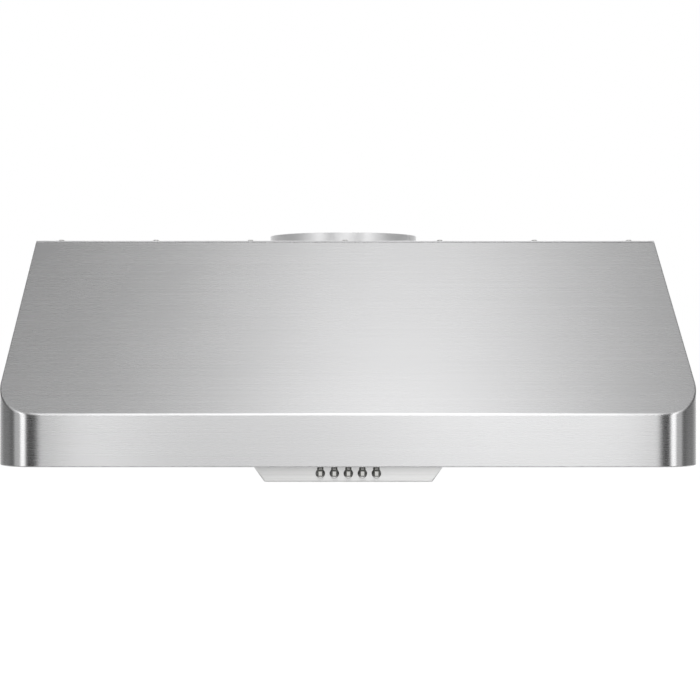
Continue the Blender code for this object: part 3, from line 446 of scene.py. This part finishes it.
# %% [markdown]
# ## Making a piece
# Each piece is one mesh at the world origin. The helper gives it a material, says which
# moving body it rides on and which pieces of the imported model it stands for. Weighted
# normals keep the broad flats flat where they meet a rounded edge.

# %% Piece helpers
def lay_grain(mesh):
    """Moves the middle of the texture space far back. Anisotropy takes its direction from
    a ring round that middle, so the direction is then the same all over the piece."""
    mesh.use_auto_texspace = False
    mesh.texspace_location = (0, 50, 0)
    mesh.texspace_size = (1, 1, 1)


def make_piece(name, bm, material, body, nodes=(), wall=0.0, crease=35.0):
    mesh = bpy.data.meshes.new(name)
    bm.to_mesh(mesh)
    bm.free()
    mesh.materials.append(material)
    mesh.shade_smooth()
    mesh.set_sharp_from_angle(angle=math.radians(crease))
    lay_grain(mesh)
    piece = bpy.data.objects.new(name, mesh)
    bpy.context.scene.collection.objects.link(piece)
    if wall:
        solidify = piece.modifiers.new("wall", "SOLIDIFY")
        solidify.thickness = wall
        solidify.offset = -1
        solidify.use_even_offset = True
    weighted = piece.modifiers.new("flats", "WEIGHTED_NORMAL")
    weighted.keep_sharp = True
    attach(piece, body)
    if nodes:
        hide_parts(*nodes)
    return piece


def block(bm, low, high):
    low, high = Vector(low), Vector(high)
    place = Matrix.Translation((low + high) / 2) @ Matrix.Diagonal((*(high - low), 1))
    return bmesh.ops.create_cube(bm, size=1, matrix=place)["verts"]


def round_edges(bm, edges, radius, segments=4):
    bmesh.ops.bevel(
        bm, geom=edges, offset=radius, offset_type="OFFSET", segments=segments,
        profile=0.5, affect="EDGES", material=-1, clamp_overlap=True,
    )


def facing(bm, direction, least=0.99):
    bm.normal_update()
    return [face for face in bm.faces if face.normal.dot(Vector(direction)) > least]


def largest(bm, direction):
    return max(facing(bm, direction), key=lambda face: face.calc_area())


def open_middle(bm, direction, border):
    """Leaves only a border of the broad flat face that looks in this direction."""
    face = largest(bm, direction)
    bmesh.ops.inset_region(bm, faces=[face], thickness=border, use_even_offset=True)
    bmesh.ops.delete(bm, geom=[face], context="FACES")


print("piece helpers ready")

# %% [markdown]
# Three more helpers make most of the fittings. One turns a profile about an axis, one rounds
# the corners of a profile, and one cuts a mesh with another and keeps the result.

# %% Turning, rounding and cutting
def rounded(points, radius, steps=4):
    """The closed outline through these points with each corner eased by up to radius."""
    eased = []
    for before, corner, after in zip(points[-1:] + points[:-1], points, points[1:] + points[:1]):
        corner = Vector(corner)
        legs = []
        for other in (Vector(before), Vector(after)):
            leg = other - corner
            legs.append(corner + leg * min(radius / leg.length, 0.45))
        for step in range(steps + 1):
            t = step / steps
            eased.append(legs[0] * (1 - t) ** 2 + corner * 2 * t * (1 - t) + legs[1] * t**2)
    return eased


TURNED_TO = {
    "Z": Matrix.Identity(4),
    "X": Matrix.Rotation(math.pi / 2, 4, "Y"),
    "Y": Matrix.Rotation(-math.pi / 2, 4, "X"),
}


def lathe(outline, centre, axis="Z", steps=96, bm=None):
    """Turns a closed outline of radius and height about an axis through centre."""
    made = bmesh.new()
    ring = [made.verts.new((radius, 0, height)) for radius, height in outline]
    edges = [made.edges.new(pair) for pair in zip(ring, ring[1:] + ring[:1])]
    bmesh.ops.spin(
        made, geom=ring + edges, cent=(0, 0, 0), axis=(0, 0, 1), angle=math.tau, steps=steps,
        use_merge=True,
    )
    bmesh.ops.remove_doubles(made, verts=made.verts, dist=1e-6)
    made.transform(Matrix.Translation(centre) @ TURNED_TO[axis])
    bmesh.ops.recalc_face_normals(made, faces=made.faces)
    return merged(bm, made)


def merged(bm, added):
    """Moves every face of one mesh into another, or returns it if there is no other yet."""
    if bm is None:
        return added
    copies = {vert: bm.verts.new(vert.co) for vert in added.verts}
    for face in added.faces:
        bm.faces.new([copies[vert] for vert in face.verts])
    added.free()
    return bm


def swept(outline, start, sweep, across, up, bm=None):
    """Draws a closed outline along sweep: its first number lies across, its second up."""
    made = bmesh.new()
    places = [Vector(start) + Vector(across) * u + Vector(up) * v for u, v in outline]
    ends = [[made.verts.new(place + shift) for place in places]
            for shift in (Vector((0, 0, 0)), Vector(sweep))]
    for first, second in zip(range(len(places)), [*range(1, len(places)), 0]):
        made.faces.new((ends[0][first], ends[0][second], ends[1][second], ends[1][first]))
    made.faces.new(ends[0])
    made.faces.new(ends[1])
    bmesh.ops.recalc_face_normals(made, faces=made.faces)
    return merged(bm, made)


def carve(bm, cutter):
    """Cuts bm with the closed mesh cutter, and returns what is left."""
    holders = []
    for part in (bm, cutter):
        bmesh.ops.recalc_face_normals(part, faces=part.faces)
        mesh = bpy.data.meshes.new("work")
        part.to_mesh(mesh)
        part.free()
        holders.append(bpy.data.objects.new("work", mesh))
        bpy.context.scene.collection.objects.link(holders[-1])
    change = holders[0].modifiers.new("cut", "BOOLEAN")
    change.operation = "DIFFERENCE"
    change.solver = "EXACT"
    change.object = holders[1]
    ready = holders[0].evaluated_get(bpy.context.evaluated_depsgraph_get())
    result = bmesh.new()
    result.from_mesh(ready.data)
    for holder in holders:
        mesh = holder.data
        bpy.data.objects.remove(holder)
        bpy.data.meshes.remove(mesh)
    return result


def cylinder(bm, centre, radius, length, axis="Z", segments=48):
    place = Matrix.Translation(centre) @ TURNED_TO[axis]
    bmesh.ops.create_cone(
        bm, cap_ends=True, radius1=radius, radius2=radius, depth=length, segments=segments,
        matrix=place,
    )


print("turning, rounding and cutting ready")

# %% [markdown]
# ## The canopy
# The real canopy is cut and folded from sheet, and its corners are welded and ground until
# no seam shows. One closed form gives all of it: a block whose front corners are rounded,
# cut by the sloping plane, with the folds rounded and the back and the middle of the top and
# the bottom taken out. A Solidify modifier then gives the skin its wall.

# %% The canopy's outline
def corner_curve(ease_in=26.0, radius=39.5, ease_out=6.0, count=34, fine=60):
    """Distances along the front and back from it round one corner, whose bend starts softly."""
    arc = radius * math.pi / 2 - (ease_in + ease_out) / 2
    whole = ease_in + arc + ease_out
    along, back, turned, points = 0.0, 0.0, 0.0, [(0.0, 0.0)]
    step = whole / (count * fine)
    for number in range(count * fine):
        done = (number + 0.5) * step
        bend = min(1.0, done / ease_in, (whole - done) / ease_out) / radius
        turned += bend * step
        along += math.cos(turned) * step
        back += math.sin(turned) * step
        if (number + 1) % fine == 0:
            points.append((along, back))
    return [((x - along) * MM, y * MM) for x, y in points]


curve = corner_curve()
right = [(half_width + x, front_y + y) for x, y in curve] + [(half_width, side_high.y)]
outline = right + [(-x, y) for x, y in reversed(right)]
print("outline points:", len(outline), "corner starts at", round(curve[0][0], 4))

# %% Canopy skin
def canopy_block():
    bm = bmesh.new()
    floor_verts = [bm.verts.new((x, y, bottom_z)) for x, y in outline]
    bottom = bm.faces.new(floor_verts)
    raised = bmesh.ops.extrude_face_region(bm, geom=[bottom])["geom"]
    lifted = [item for item in raised if isinstance(item, bmesh.types.BMVert)]
    bmesh.ops.translate(bm, verts=lifted, vec=(0, 0, flange_z - bottom_z))
    bmesh.ops.recalc_face_normals(bm, faces=bm.faces)
    everything = bm.verts[:] + bm.edges[:] + bm.faces[:]
    bmesh.ops.bisect_plane(
        bm, geom=everything, plane_co=slope_foot, plane_no=slope_normal, clear_outer=True
    )
    rim = [edge for edge in bm.edges if edge.is_boundary]
    bmesh.ops.holes_fill(bm, edges=rim, sides=0)
    bmesh.ops.recalc_face_normals(bm, faces=bm.faces)
    return bm


bm = canopy_block()
slope = largest(bm, slope_normal)
round_edges(bm, list(slope.edges), 1.9 * MM, 6)
underside = largest(bm, (0, 0, -1))
bends = [edge for edge in underside.edges if edge.verts[0].co.y + edge.verts[1].co.y < -2 * MM]
round_edges(bm, bends, 1.3 * MM, 4)
open_middle(bm, (0, 0, -1), 11 * MM)
open_middle(bm, (0, 0, 1), 14 * MM)
open_middle(bm, (0, 1, 0), 13 * MM)
canopy = make_piece(
    "canopy_skin", bm, brushed_front, "hood",
    ("slope_panel", "front_fascia", "side_panel_left", "side_panel_right"), wall=SHEET,
)
print("canopy faces:", len(canopy.data.polygons))

# %% [markdown]
# ## Screws
# The slope and the collar are held by zinc plated pan-head screws. The head is a low dome
# with a cross cut into it. Each screw is turned a little differently, as a hand leaves them.

# %% Screws
def screw_shape():
    dome = [(0, 1.7), (1.9, 1.58), (2.8, 1.32), (3.25, 0.95), (3.4, 0.6), (3.4, 0.3), (1.5, 0.3),
            (1.5, -3.4), (0, -4.0)]
    bm = lathe([(radius * MM, height * MM) for radius, height in dome], (0, 0, 0), steps=48)
    cross = bmesh.new()
    block(cross, Vector((-2.0, -0.42, 0.8)) * MM, Vector((2.0, 0.42, 3)) * MM)
    second = bmesh.new()
    block(second, Vector((-0.42, -2.0, 0.8)) * MM, Vector((0.42, 2.0, 3)) * MM)
    return carve(carve(bm, cross), second)


screw_names = [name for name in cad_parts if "_screw_" in name]
for number, name in enumerate(sorted(screw_names)):
    low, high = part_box(name)
    bm = screw_shape()
    bm.transform(Matrix.Rotation(0.7 + 1.9 * number, 4, "Z"))
    top = Vector(((low.x + high.x) / 2, (low.y + high.y) / 2, high.z - 1.7 * MM))
    bm.transform(Matrix.Translation(top))
    make_piece(f"{name}_head", bm, zinc_plate, "hood", (name,), crease=40)
print("screws:", len(screw_names))

# %% [markdown]
# ## The duct collar
# A strip of steel is rolled to a ring, lapped and spot welded, and its foot is flared into a
# flange. The upper edge is rounded, so that the duct slides over it.

# %% Duct collar
collar_low, collar_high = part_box("duct_collar")
collar_x = (collar_low.x + collar_high.x) / 2
collar_y = (collar_low.y + collar_high.y) / 2
flange_radius = (collar_high.x - collar_low.x) / 2
sleeve_radius = flange_radius - 14.5 * MM
height = collar_high.z
wall = 1.0 * MM
section = [
    (sleeve_radius - wall, collar_low.z), (flange_radius, collar_low.z),
    (flange_radius, collar_low.z + wall), (sleeve_radius, collar_low.z + wall),
    (sleeve_radius, height), (sleeve_radius - wall, height),
]
bm = lathe(rounded(section, 0.7 * MM), (collar_x, collar_y, 0), steps=192)
holes = bmesh.new()
cylinder(holes, (0, collar_y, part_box("damper_rod")[0].z + 1.5 * MM), 1.9 * MM, 1, "X", 24)
bm = carve(bm, holes)
make_piece("collar_sleeve", bm, collar_steel, "hood", ("duct_collar",))
print("collar radius:", round(sleeve_radius, 4))

# %% The collar's lap
lap_turn = math.radians(28)
lap_points = []
for step in range(9):
    angle = -lap_turn + (step - 4) * 0.011
    lap_points.append((math.cos(angle), math.sin(angle)))
inner = [(x * sleeve_radius * 0.9995, y * sleeve_radius * 0.9995) for x, y in lap_points]
outer = [(x * (sleeve_radius + 0.7 * MM), y * (sleeve_radius + 0.7 * MM)) for x, y in lap_points]
lap = swept(
    inner + outer[::-1], (collar_x, collar_y, 2.2 * MM), (0, 0, height - 2.8 * MM),
    (1, 0, 0), (0, 1, 0),
)
round_edges(lap, [edge for edge in lap.edges if edge.calc_face_angle(0) > 0.8], 0.25 * MM, 2)
lap_centre = Vector((collar_x, collar_y, 0))
outward = Vector((math.cos(-lap_turn), math.sin(-lap_turn), 0))
for weld_z in (5.0, 10.6):
    dome = lathe([(0, 0.25 * MM), (1.2 * MM, 0.16 * MM), (2.0 * MM, 0), (0, 0)], (0, 0, 0),
                 steps=24)
    at_weld = lap_centre + outward * (sleeve_radius + 0.68 * MM) + Vector((0, 0, weld_z * MM))
    outwards = outward.to_track_quat("Z", "Y").to_matrix().to_4x4()
    dome.transform(Matrix.Translation(at_weld) @ outwards)
    lap = merged(lap, dome)
make_piece("collar_lap", lap, collar_steel, "hood")
print("collar lap ready")

# %% [markdown]
# ## The control box
# The box with the keys hangs below the fascia. It is folded from sheet, so its lower edge and
# its sloping ends meet in small rounded bends, and five round holes let the keys through.

# %% Control box
box_low, box_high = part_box("control_box")
BOX_TAPER = 13.8 * MM


def tapered_block(inset, above):
    bm = bmesh.new()
    low = box_low + Vector((inset, inset, inset))
    high = Vector((box_high.x - inset, box_high.y - inset, box_high.z + above))
    block(bm, low, high)
    geometry = bm.verts[:] + bm.edges[:] + bm.faces[:]
    bmesh.ops.bisect_plane(bm, geom=geometry, plane_co=(0, 0, bottom_z), plane_no=(0, 0, 1))
    for vert in bm.verts:
        if vert.co.z < low.z + 0.1 * MM:
            vert.co.x -= math.copysign(BOX_TAPER, vert.co.x)
    folds = [edge for edge in bm.edges if edge.calc_face_angle(0) > 0.5
             and min(vert.co.z for vert in edge.verts) < bottom_z + MM]
    round_edges(bm, folds, max(1.5 * MM - inset, 0.3 * MM), 5)
    return bm


bm = carve(tapered_block(0, 0), tapered_block(SHEET, 5 * MM))
holes = bmesh.new()
key_names = ["key_light", "key_off", "key_low", "key_medium", "key_high"]
key_boxes = {name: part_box(name) for name in key_names}
key_x = {name: (low.x + high.x) / 2 for name, (low, high) in key_boxes.items()}
bush_z = bottom_z - 7.7 * MM
BUSH_HOLE, BUSH_BORE = 5.1 * MM, 2.8 * MM
for x in key_x.values():
    cylinder(holes, (x, box_low.y, bush_z), BUSH_HOLE, 10 * MM, "Y", 48)
bm = carve(bm, holes)
make_piece("control_panel", bm, brushed_panel, "hood", ("control_box",))
print("control box", [round(value / MM, 1) for value in box_high - box_low])

# %% [markdown]
# ## The keys
# Each key is a dark moulded cap on a stem, with two small satin plates let into its face: one
# on the sloping upper facet and one on the upright lower part. A plated bush surrounds it.

# %% Keys
CAP_DEPTH, CAP_HALF, PLATE_HALF, STEM_RADIUS = 3.4 * MM, 3.2 * MM, 1.85 * MM, 2.4 * MM


def key_cap(x, front, rear, top, facet, foot):
    outline = [(rear, foot), (front, foot), (front, facet), (rear, top)]
    bm = swept(outline, (x - CAP_HALF, 0, 0), (2 * CAP_HALF, 0, 0), (0, 1, 0), (0, 0, 1))
    round_edges(bm, bm.edges[:], 0.28 * MM, 3)
    return bm


for name in key_names:
    low, high = key_boxes[name]
    x, front = key_x[name], low.y
    rear, top, facet = front + CAP_DEPTH, bottom_z - 0.3 * MM, bottom_z - 3.5 * MM
    bm = key_cap(x, front + 0.1 * MM, rear, top, facet, low.z)
    cylinder(bm, (x, (rear + high.y) / 2 - 0.1 * MM, bush_z), STEM_RADIUS,
             high.y - rear + 0.2 * MM, "Y", 32)
    make_piece(f"{name}_cap", bm, dark_key, name, (name,))
    plates = bmesh.new()
    block(plates, (x - PLATE_HALF, front, low.z + 0.9 * MM),
          (x + PLATE_HALF, front + 0.5 * MM, facet - 1.3 * MM))
    upper = bmesh.new()
    block(upper, (-PLATE_HALF, -1.75 * MM, -0.4 * MM), (PLATE_HALF, 1.35 * MM, 0.06 * MM))
    rise = math.atan2(top - facet, rear - front)
    middle = Vector((x, (front + rear) / 2, (top + facet) / 2))
    upper.transform(Matrix.Translation(middle) @ Matrix.Rotation(rise, 4, "X"))
    plates = merged(plates, upper)
    round_edges(plates, plates.edges[:], 0.09 * MM, 2)
    make_piece(f"{name}_plates", plates, satin_plate, name)
print("keys:", len(key_names))

# %% The switch and its bushes
switch_low, switch_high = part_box("switch_block")
bm = bmesh.new()
block(bm, (switch_low.x, box_low.y + SHEET + 0.5 * MM, switch_low.z), switch_high)
round_edges(bm, bm.edges[:], 0.8 * MM, 3)
bores = bmesh.new()
KEY_TRAVEL, SPARE = 3.0 * MM, 0.6 * MM
pressed = key_boxes["key_off"][1].y + KEY_TRAVEL + SPARE
for x in key_x.values():
    cylinder(bores, (x, box_low.y, bush_z), BUSH_BORE, 2 * (pressed - box_low.y), "Y", 32)
bm = carve(bm, bores)
make_piece("switch_housing", bm, black_plastic, "hood", ("switch_block",))
bushes = None
for x in key_x.values():
    section = [(2.8, 5.5), (4.8, 5.5), (4.8, 0), (3.3, -1.2), (2.8, -1.2)]
    bushes = lathe([(radius * MM, rise * MM) for radius, rise in section],
                   (x, box_low.y, bush_z), "Y", 64, bushes)
make_piece("switch_bushes", bushes, bright_plate, "hood", crease=30)
print("switch and bushes ready")

# %% [markdown]
# ## The underside
# A pan closes the canopy from below. Its rim turns down and its bends are rounded. Two large
# openings in it are covered by the grease filters, and two round ones take the lamps.

# %% Bottom pan
def pan_block(inset, below):
    bm = bmesh.new()
    low = Vector((pan_low.x + inset, pan_low.y + inset, pan_low.z - below))
    block(bm, low, pan_high - Vector((inset, inset, inset)))
    front_corners = [
        edge for edge in bm.edges
        if all(vert.co.y < low.y + MM for vert in edge.verts)
        and abs(edge.verts[0].co.x - edge.verts[1].co.x) < MM
    ]
    round_edges(bm, front_corners, 40.5 * MM - inset, 24)
    lid = largest(bm, (0, 0, 1))
    round_edges(bm, list(lid.edges), 2.6 * MM - inset, 5)
    return bm


bm = carve(pan_block(0, 0), pan_block(SHEET, 5 * MM))
pan_cuts = bmesh.new()
filter_boxes = {side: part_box(f"filter_frame_{side}") for side in ("left", "right")}
lamp_boxes = {side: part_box(f"lamp_trim_{side}") for side in ("left", "right")}
for side in ("left", "right"):
    low, high = filter_boxes[side]
    block(pan_cuts, (low.x + 10 * MM, low.y + 12 * MM, pan_high.z - 6 * MM),
          (high.x - 10 * MM, -78 * MM, pan_high.z + 6 * MM))
    low, high = lamp_boxes[side]
    middle = (low + high) / 2
    cylinder(pan_cuts, (middle.x, middle.y, pan_high.z), 29.5 * MM, 12 * MM, "Z", 64)
block(pan_cuts, Vector((2, -541, 1000 * pan_high.z - 6)) * MM,
      Vector((38, -518, 1000 * pan_high.z + 6)) * MM)
bm = carve(bm, pan_cuts)
make_piece("underside_pan", bm, brushed_top, "hood", ("bottom_pan",))
print("pan ready")

# %% [markdown]
# ## The grease filters
# Each filter is a flat steel cassette. A channel frame, mitred at its corners, holds two
# layers of channel strips that face each other with gaps between, so that the air turns
# twice and drops its grease.

# %% Filter frames
def filter_cassette(side):
    low, high = filter_boxes[side]
    middle = (low.x + high.x) / 2
    under = pan_high.z - SHEET - 10.6 * MM
    over = under + 10 * MM
    front, rear = low.y, -90 * MM
    bm = bmesh.new()
    block(bm, (low.x, front, under), (high.x, rear, over))
    round_edges(bm, bm.edges[:], 0.9 * MM, 4)
    hollow = bmesh.new()
    block(hollow, (low.x + 0.8 * MM, front + 0.8 * MM, under + 0.8 * MM),
          (high.x - 0.8 * MM, rear - 0.8 * MM, over - 0.8 * MM))
    bm = carve(bm, hollow)
    window = bmesh.new()
    block(window, (low.x + 18 * MM, front + 18 * MM, under - 5 * MM),
          (high.x - 18 * MM, rear - 18 * MM, over + 5 * MM))
    bm = carve(bm, window)
    grooves = bmesh.new()
    for x, inward_x in ((low.x, 1), (high.x, -1)):
        for y, inward_y in ((front, 1), (rear, -1)):
            made = block(grooves, Vector((-1, -0.14, -0.3)) * MM, Vector((26, 0.14, 0.3)) * MM)
            turn = Matrix.Rotation(math.atan2(inward_y, inward_x), 4, "Z")
            place = Matrix.Translation((x, y, under)) @ turn
            bmesh.ops.transform(grooves, matrix=place, verts=made)
    return carve(bm, grooves), middle, under, over, front, rear


for side in ("left", "right"):
    bm, middle, under, over, front, rear = filter_cassette(side)
    for x in (middle - 110 * MM, middle + 110 * MM):
        tab = bmesh.new()
        block(tab, (x - 15 * MM, rear - 0.5 * MM, over - 1.2 * MM),
              (x + 15 * MM, rear + 10 * MM, over - 0.1 * MM))
        round_edges(tab, tab.edges[:], 0.4 * MM, 3)
        bm = merged(bm, tab)
    for low_x, high_x in ((-14, -8.4), (8.4, 14)):
        foot = bmesh.new()
        block(foot, (middle + low_x * MM, front + 0.5 * MM, under - 3.4 * MM),
              (middle + high_x * MM, front + 4.5 * MM, under + 0.4 * MM))
        bm = merged(bm, foot)
    bridge = bmesh.new()
    block(bridge, (middle - 14 * MM, front + 0.5 * MM, under - 3.4 * MM),
          (middle + 14 * MM, front + 4.5 * MM, under - 2.2 * MM))
    round_edges(bridge, bridge.edges[:], 0.3 * MM, 2)
    bm = merged(bm, bridge)
    make_piece(f"filter_cassette_{side}", bm, brushed_top, f"filter_{side}",
               (f"filter_frame_{side}",), crease=30)
print("filter frames ready")

# %% Filter strips
STRIP = [(-12.4, 4.8), (-12.4, -0.4), (12.4, -0.4), (12.4, 4.8), (11.6, 4.8), (11.6, 0.4),
         (-11.6, 0.4), (-11.6, 4.8)]
strip_outline = rounded([(u * MM, v * MM) for u, v in STRIP], 0.9 * MM, 3)
for side in ("left", "right"):
    low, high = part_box(f"filter_baffles_{side}")
    middle = (low.x + high.x) / 2
    bm = None
    for count, z, way in ((9, low.z + 0.9 * MM, 1), (8, high.z - 0.9 * MM, -1)):
        for number in range(count):
            x = middle + (number - (count - 1) / 2) * 34 * MM
            bm = swept(strip_outline, (x, low.y + MM, z), (0, high.y - low.y - 2 * MM, 0),
                       (1, 0, 0), (0, 0, way), bm)
    for y in (low.y, high.y - 2 * MM):
        rail = bmesh.new()
        block(rail, (low.x, y, low.z), (high.x, y + 2 * MM, high.z))
        round_edges(rail, rail.edges[:], 0.4 * MM, 3)
        bm = merged(bm, rail)
    make_piece(f"filter_strips_{side}", bm, brushed_along, f"filter_{side}",
               (f"filter_baffles_{side}",))
print("filter strips ready")

# %% Filter latches
for side in ("left", "right"):
    low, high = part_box(f"filter_latch_{side}")
    middle = (low.x + high.x) / 2
    knob_y = low.y + 14 * MM
    bm = bmesh.new()
    block(bm, (low.x, low.y, high.z - 1.5 * MM), high)
    round_edges(bm, bm.edges[:], 0.35 * MM, 3)
    knob = bmesh.new()
    made = block(knob, (-7 * MM, -3 * MM, -7 * MM), (7 * MM, 4 * MM, 0.3 * MM))
    narrow = [vert for vert in made if vert.co.z < -6 * MM]
    bmesh.ops.scale(knob, verts=narrow, vec=(0.86, 0.7, 1))
    round_edges(knob, knob.edges[:], 1.0 * MM, 4)
    knob.transform(Matrix.Translation((middle, knob_y, high.z - 1.5 * MM)))
    bm = merged(bm, knob)
    for rib_z in (-1.8, -3.3, -4.8):
        rib = bmesh.new()
        block(rib, (-6.0 * MM, -3.0 * MM, -0.3 * MM), (6.0 * MM, 4.1 * MM, 0.3 * MM))
        round_edges(rib, rib.edges[:], 0.2 * MM, 2)
        rib.transform(Matrix.Translation((middle, knob_y, high.z + (rib_z - 1.5) * MM)))
        bm = merged(bm, rib)
    make_piece(f"latch_bolt_{side}", bm, bright_plate, f"latch_{side}",
               (f"filter_latch_{side}",))
print("filter latches ready")

# %% Lamps
for side in ("left", "right"):
    low, high = lamp_boxes[side]
    at_lamp = ((low.x + high.x) / 2, (low.y + high.y) / 2, high.z)
    ring = [(26, 0), (34, 0), (34, -1.2), (31.2, -2.6), (27.2, -2.6), (26, -1.9)]
    ring = rounded([(radius * MM, rise * MM) for radius, rise in ring], 0.6 * MM)
    make_piece(f"lamp_ring_{side}", lathe(ring, at_lamp, steps=128), bright_plate, "hood",
               (f"lamp_trim_{side}",), crease=50)
    lens = [(0, -2.3), (12, -2.25), (24.6, -1.9), (25.6, -1.6), (25.6, -0.4), (0, -0.4)]
    lens = lathe([(radius * MM, rise * MM) for radius, rise in lens], at_lamp, steps=128)
    make_piece(f"lamp_glass_{side}", lens, lamp_glass, "hood",
               (f"lamp_lens_{side}",), crease=50)
    body_low, body_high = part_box(f"lamp_body_{side}")
    top = body_high.z - body_low.z
    shell = [(0, top), (24 * MM, top), (28.5 * MM, top - 6 * MM), (28.5 * MM, 0), (26.5 * MM, 0),
             (26.5 * MM, top - 8 * MM), (0, top - 8 * MM)]
    shell = lathe(shell, (at_lamp[0], at_lamp[1], body_low.z), steps=96)
    make_piece(f"lamp_can_{side}", shell, cast_metal, "hood",
               (f"lamp_body_{side}",))
print("lamps ready")

# %% [markdown]
# ## The inner pieces
# The blower, its motor, the electrics and the plain sheet parts have the right shape already,
# but their edges are knife sharp. Rounding every sharp edge a little makes each of them catch
# the light as folded sheet or a moulding does.

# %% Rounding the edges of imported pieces
def soften(name, material, body, radius=0.3, least=50):
    """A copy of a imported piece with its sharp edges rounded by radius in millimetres."""
    bm = bmesh.new()
    bm.from_mesh(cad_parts[name].data)
    bmesh.ops.remove_doubles(bm, verts=bm.verts, dist=1e-6)
    bmesh.ops.dissolve_limit(
        bm, angle_limit=math.radians(0.5), verts=bm.verts, edges=bm.edges
    )
    sharp = [edge for edge in bm.edges
             if edge.is_manifold and edge.calc_face_angle(0) > math.radians(least)]
    if radius:
        round_edges(bm, sharp, radius * MM, 2)
    return make_piece(f"{name}_finished", bm, material, body, (name,), crease=40)


soften("top_plate", brushed_top, "hood", 0.35)
soften("back_panel", brushed_front, "hood", 0.5)
soften("filter_ledge", brushed_top, "hood", 0.35)
for side in ("left", "right"):
    soften(f"filter_catch_{side}", brushed_top, "hood", 0.35)
    soften(f"blower_side_{side}", zinc_sheet, "hood", 0.2)
for side in ("front", "rear"):
    soften(f"damper_flap_{side}", zinc_sheet, f"flap_{side}", 0.2)
for name in ("rear_outlet_cover", "blower_scroll", "motor_bracket", "junction_box",
             "junction_box_cover"):
    soften(name, zinc_sheet, "hood", 0.3)
print("rounded sheet pieces ready")

# %% Motor, capacitor and cable entry
motor_low, motor_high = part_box("motor")
axis_y, axis_z = (motor_low.y + motor_high.y) / 2, (motor_low.z + motor_high.z) / 2
can = [(20, 88), (34, 87), (40, 82), (40, 24), (34, 19), (20, 18), (4.8, 18), (4.8, 88)]
can = rounded([(radius * MM, (x - 53) * MM) for radius, x in can], 1.5 * MM)
bm = lathe(can, ((motor_low.x + motor_high.x) / 2, axis_y, axis_z), "X", 96)
slots = bmesh.new()
for number in range(12):
    made = block(slots, Vector((84, 22, -1.6)) * MM, Vector((92, 32, 1.6)) * MM)
    turn = Matrix.Rotation(math.tau * number / 12, 4, "X")
    place = Matrix.Translation((0, axis_y, axis_z)) @ turn
    bmesh.ops.transform(slots, matrix=place, verts=made)
bm = carve(bm, slots)
make_piece("motor_can", bm, cast_metal, "hood", ("motor",))
cap_low, cap_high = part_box("capacitor")
cap_middle = (cap_low + cap_high) / 2
length = cap_high.x - cap_low.x
tube = [(0, -length / 2), (15 * MM, -length / 2), (15 * MM, length / 2), (0, length / 2)]
bm = lathe(rounded(tube, 1.2 * MM), cap_middle, "X", 64)
make_piece("capacitor_case", bm, white_case, "hood", ("capacitor",))
gland_low, gland_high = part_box("cable_gland")
gland_middle = ((gland_low.x + gland_high.x) / 2, (gland_low.y + gland_high.y) / 2, gland_high.z)
nut_top, foot = -4.1, (gland_low.z - gland_high.z) / MM
gland = [(10.4, 0), (10.4, nut_top), (14, nut_top), (14, foot), (6, foot), (6, 0)]
bm = lathe(rounded([(radius * MM, z * MM) for radius, z in gland], 0.6 * MM), gland_middle,
           steps=64)
make_piece("cable_bush", bm, black_plastic, "hood", ("cable_gland",))
print("motor, capacitor and cable entry ready")

# %% Rods and the fan wheel
for name, body in (("damper_rod", "hood"), ("motor_shaft", "wheel")):
    low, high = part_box(name)
    radius, half = (high.z - low.z) / 2, (high.x - low.x) / 2
    rod = [(0, -half), (radius, -half), (radius, half), (0, half)]
    bm = lathe(rounded(rod, 0.4 * MM), (low + high) / 2, "X", 48)
    make_piece(f"{name}_turned", bm, zinc_plate, body, (name,))
soften("fan_wheel", zinc_sheet, "wheel", 0)
for name in ("wire_switch", "wire_motor", "wire_lamp_left", "wire_lamp_right"):
    soften(name, cable_sheath, "hood", 0)
print("rods, wheel and cables ready")
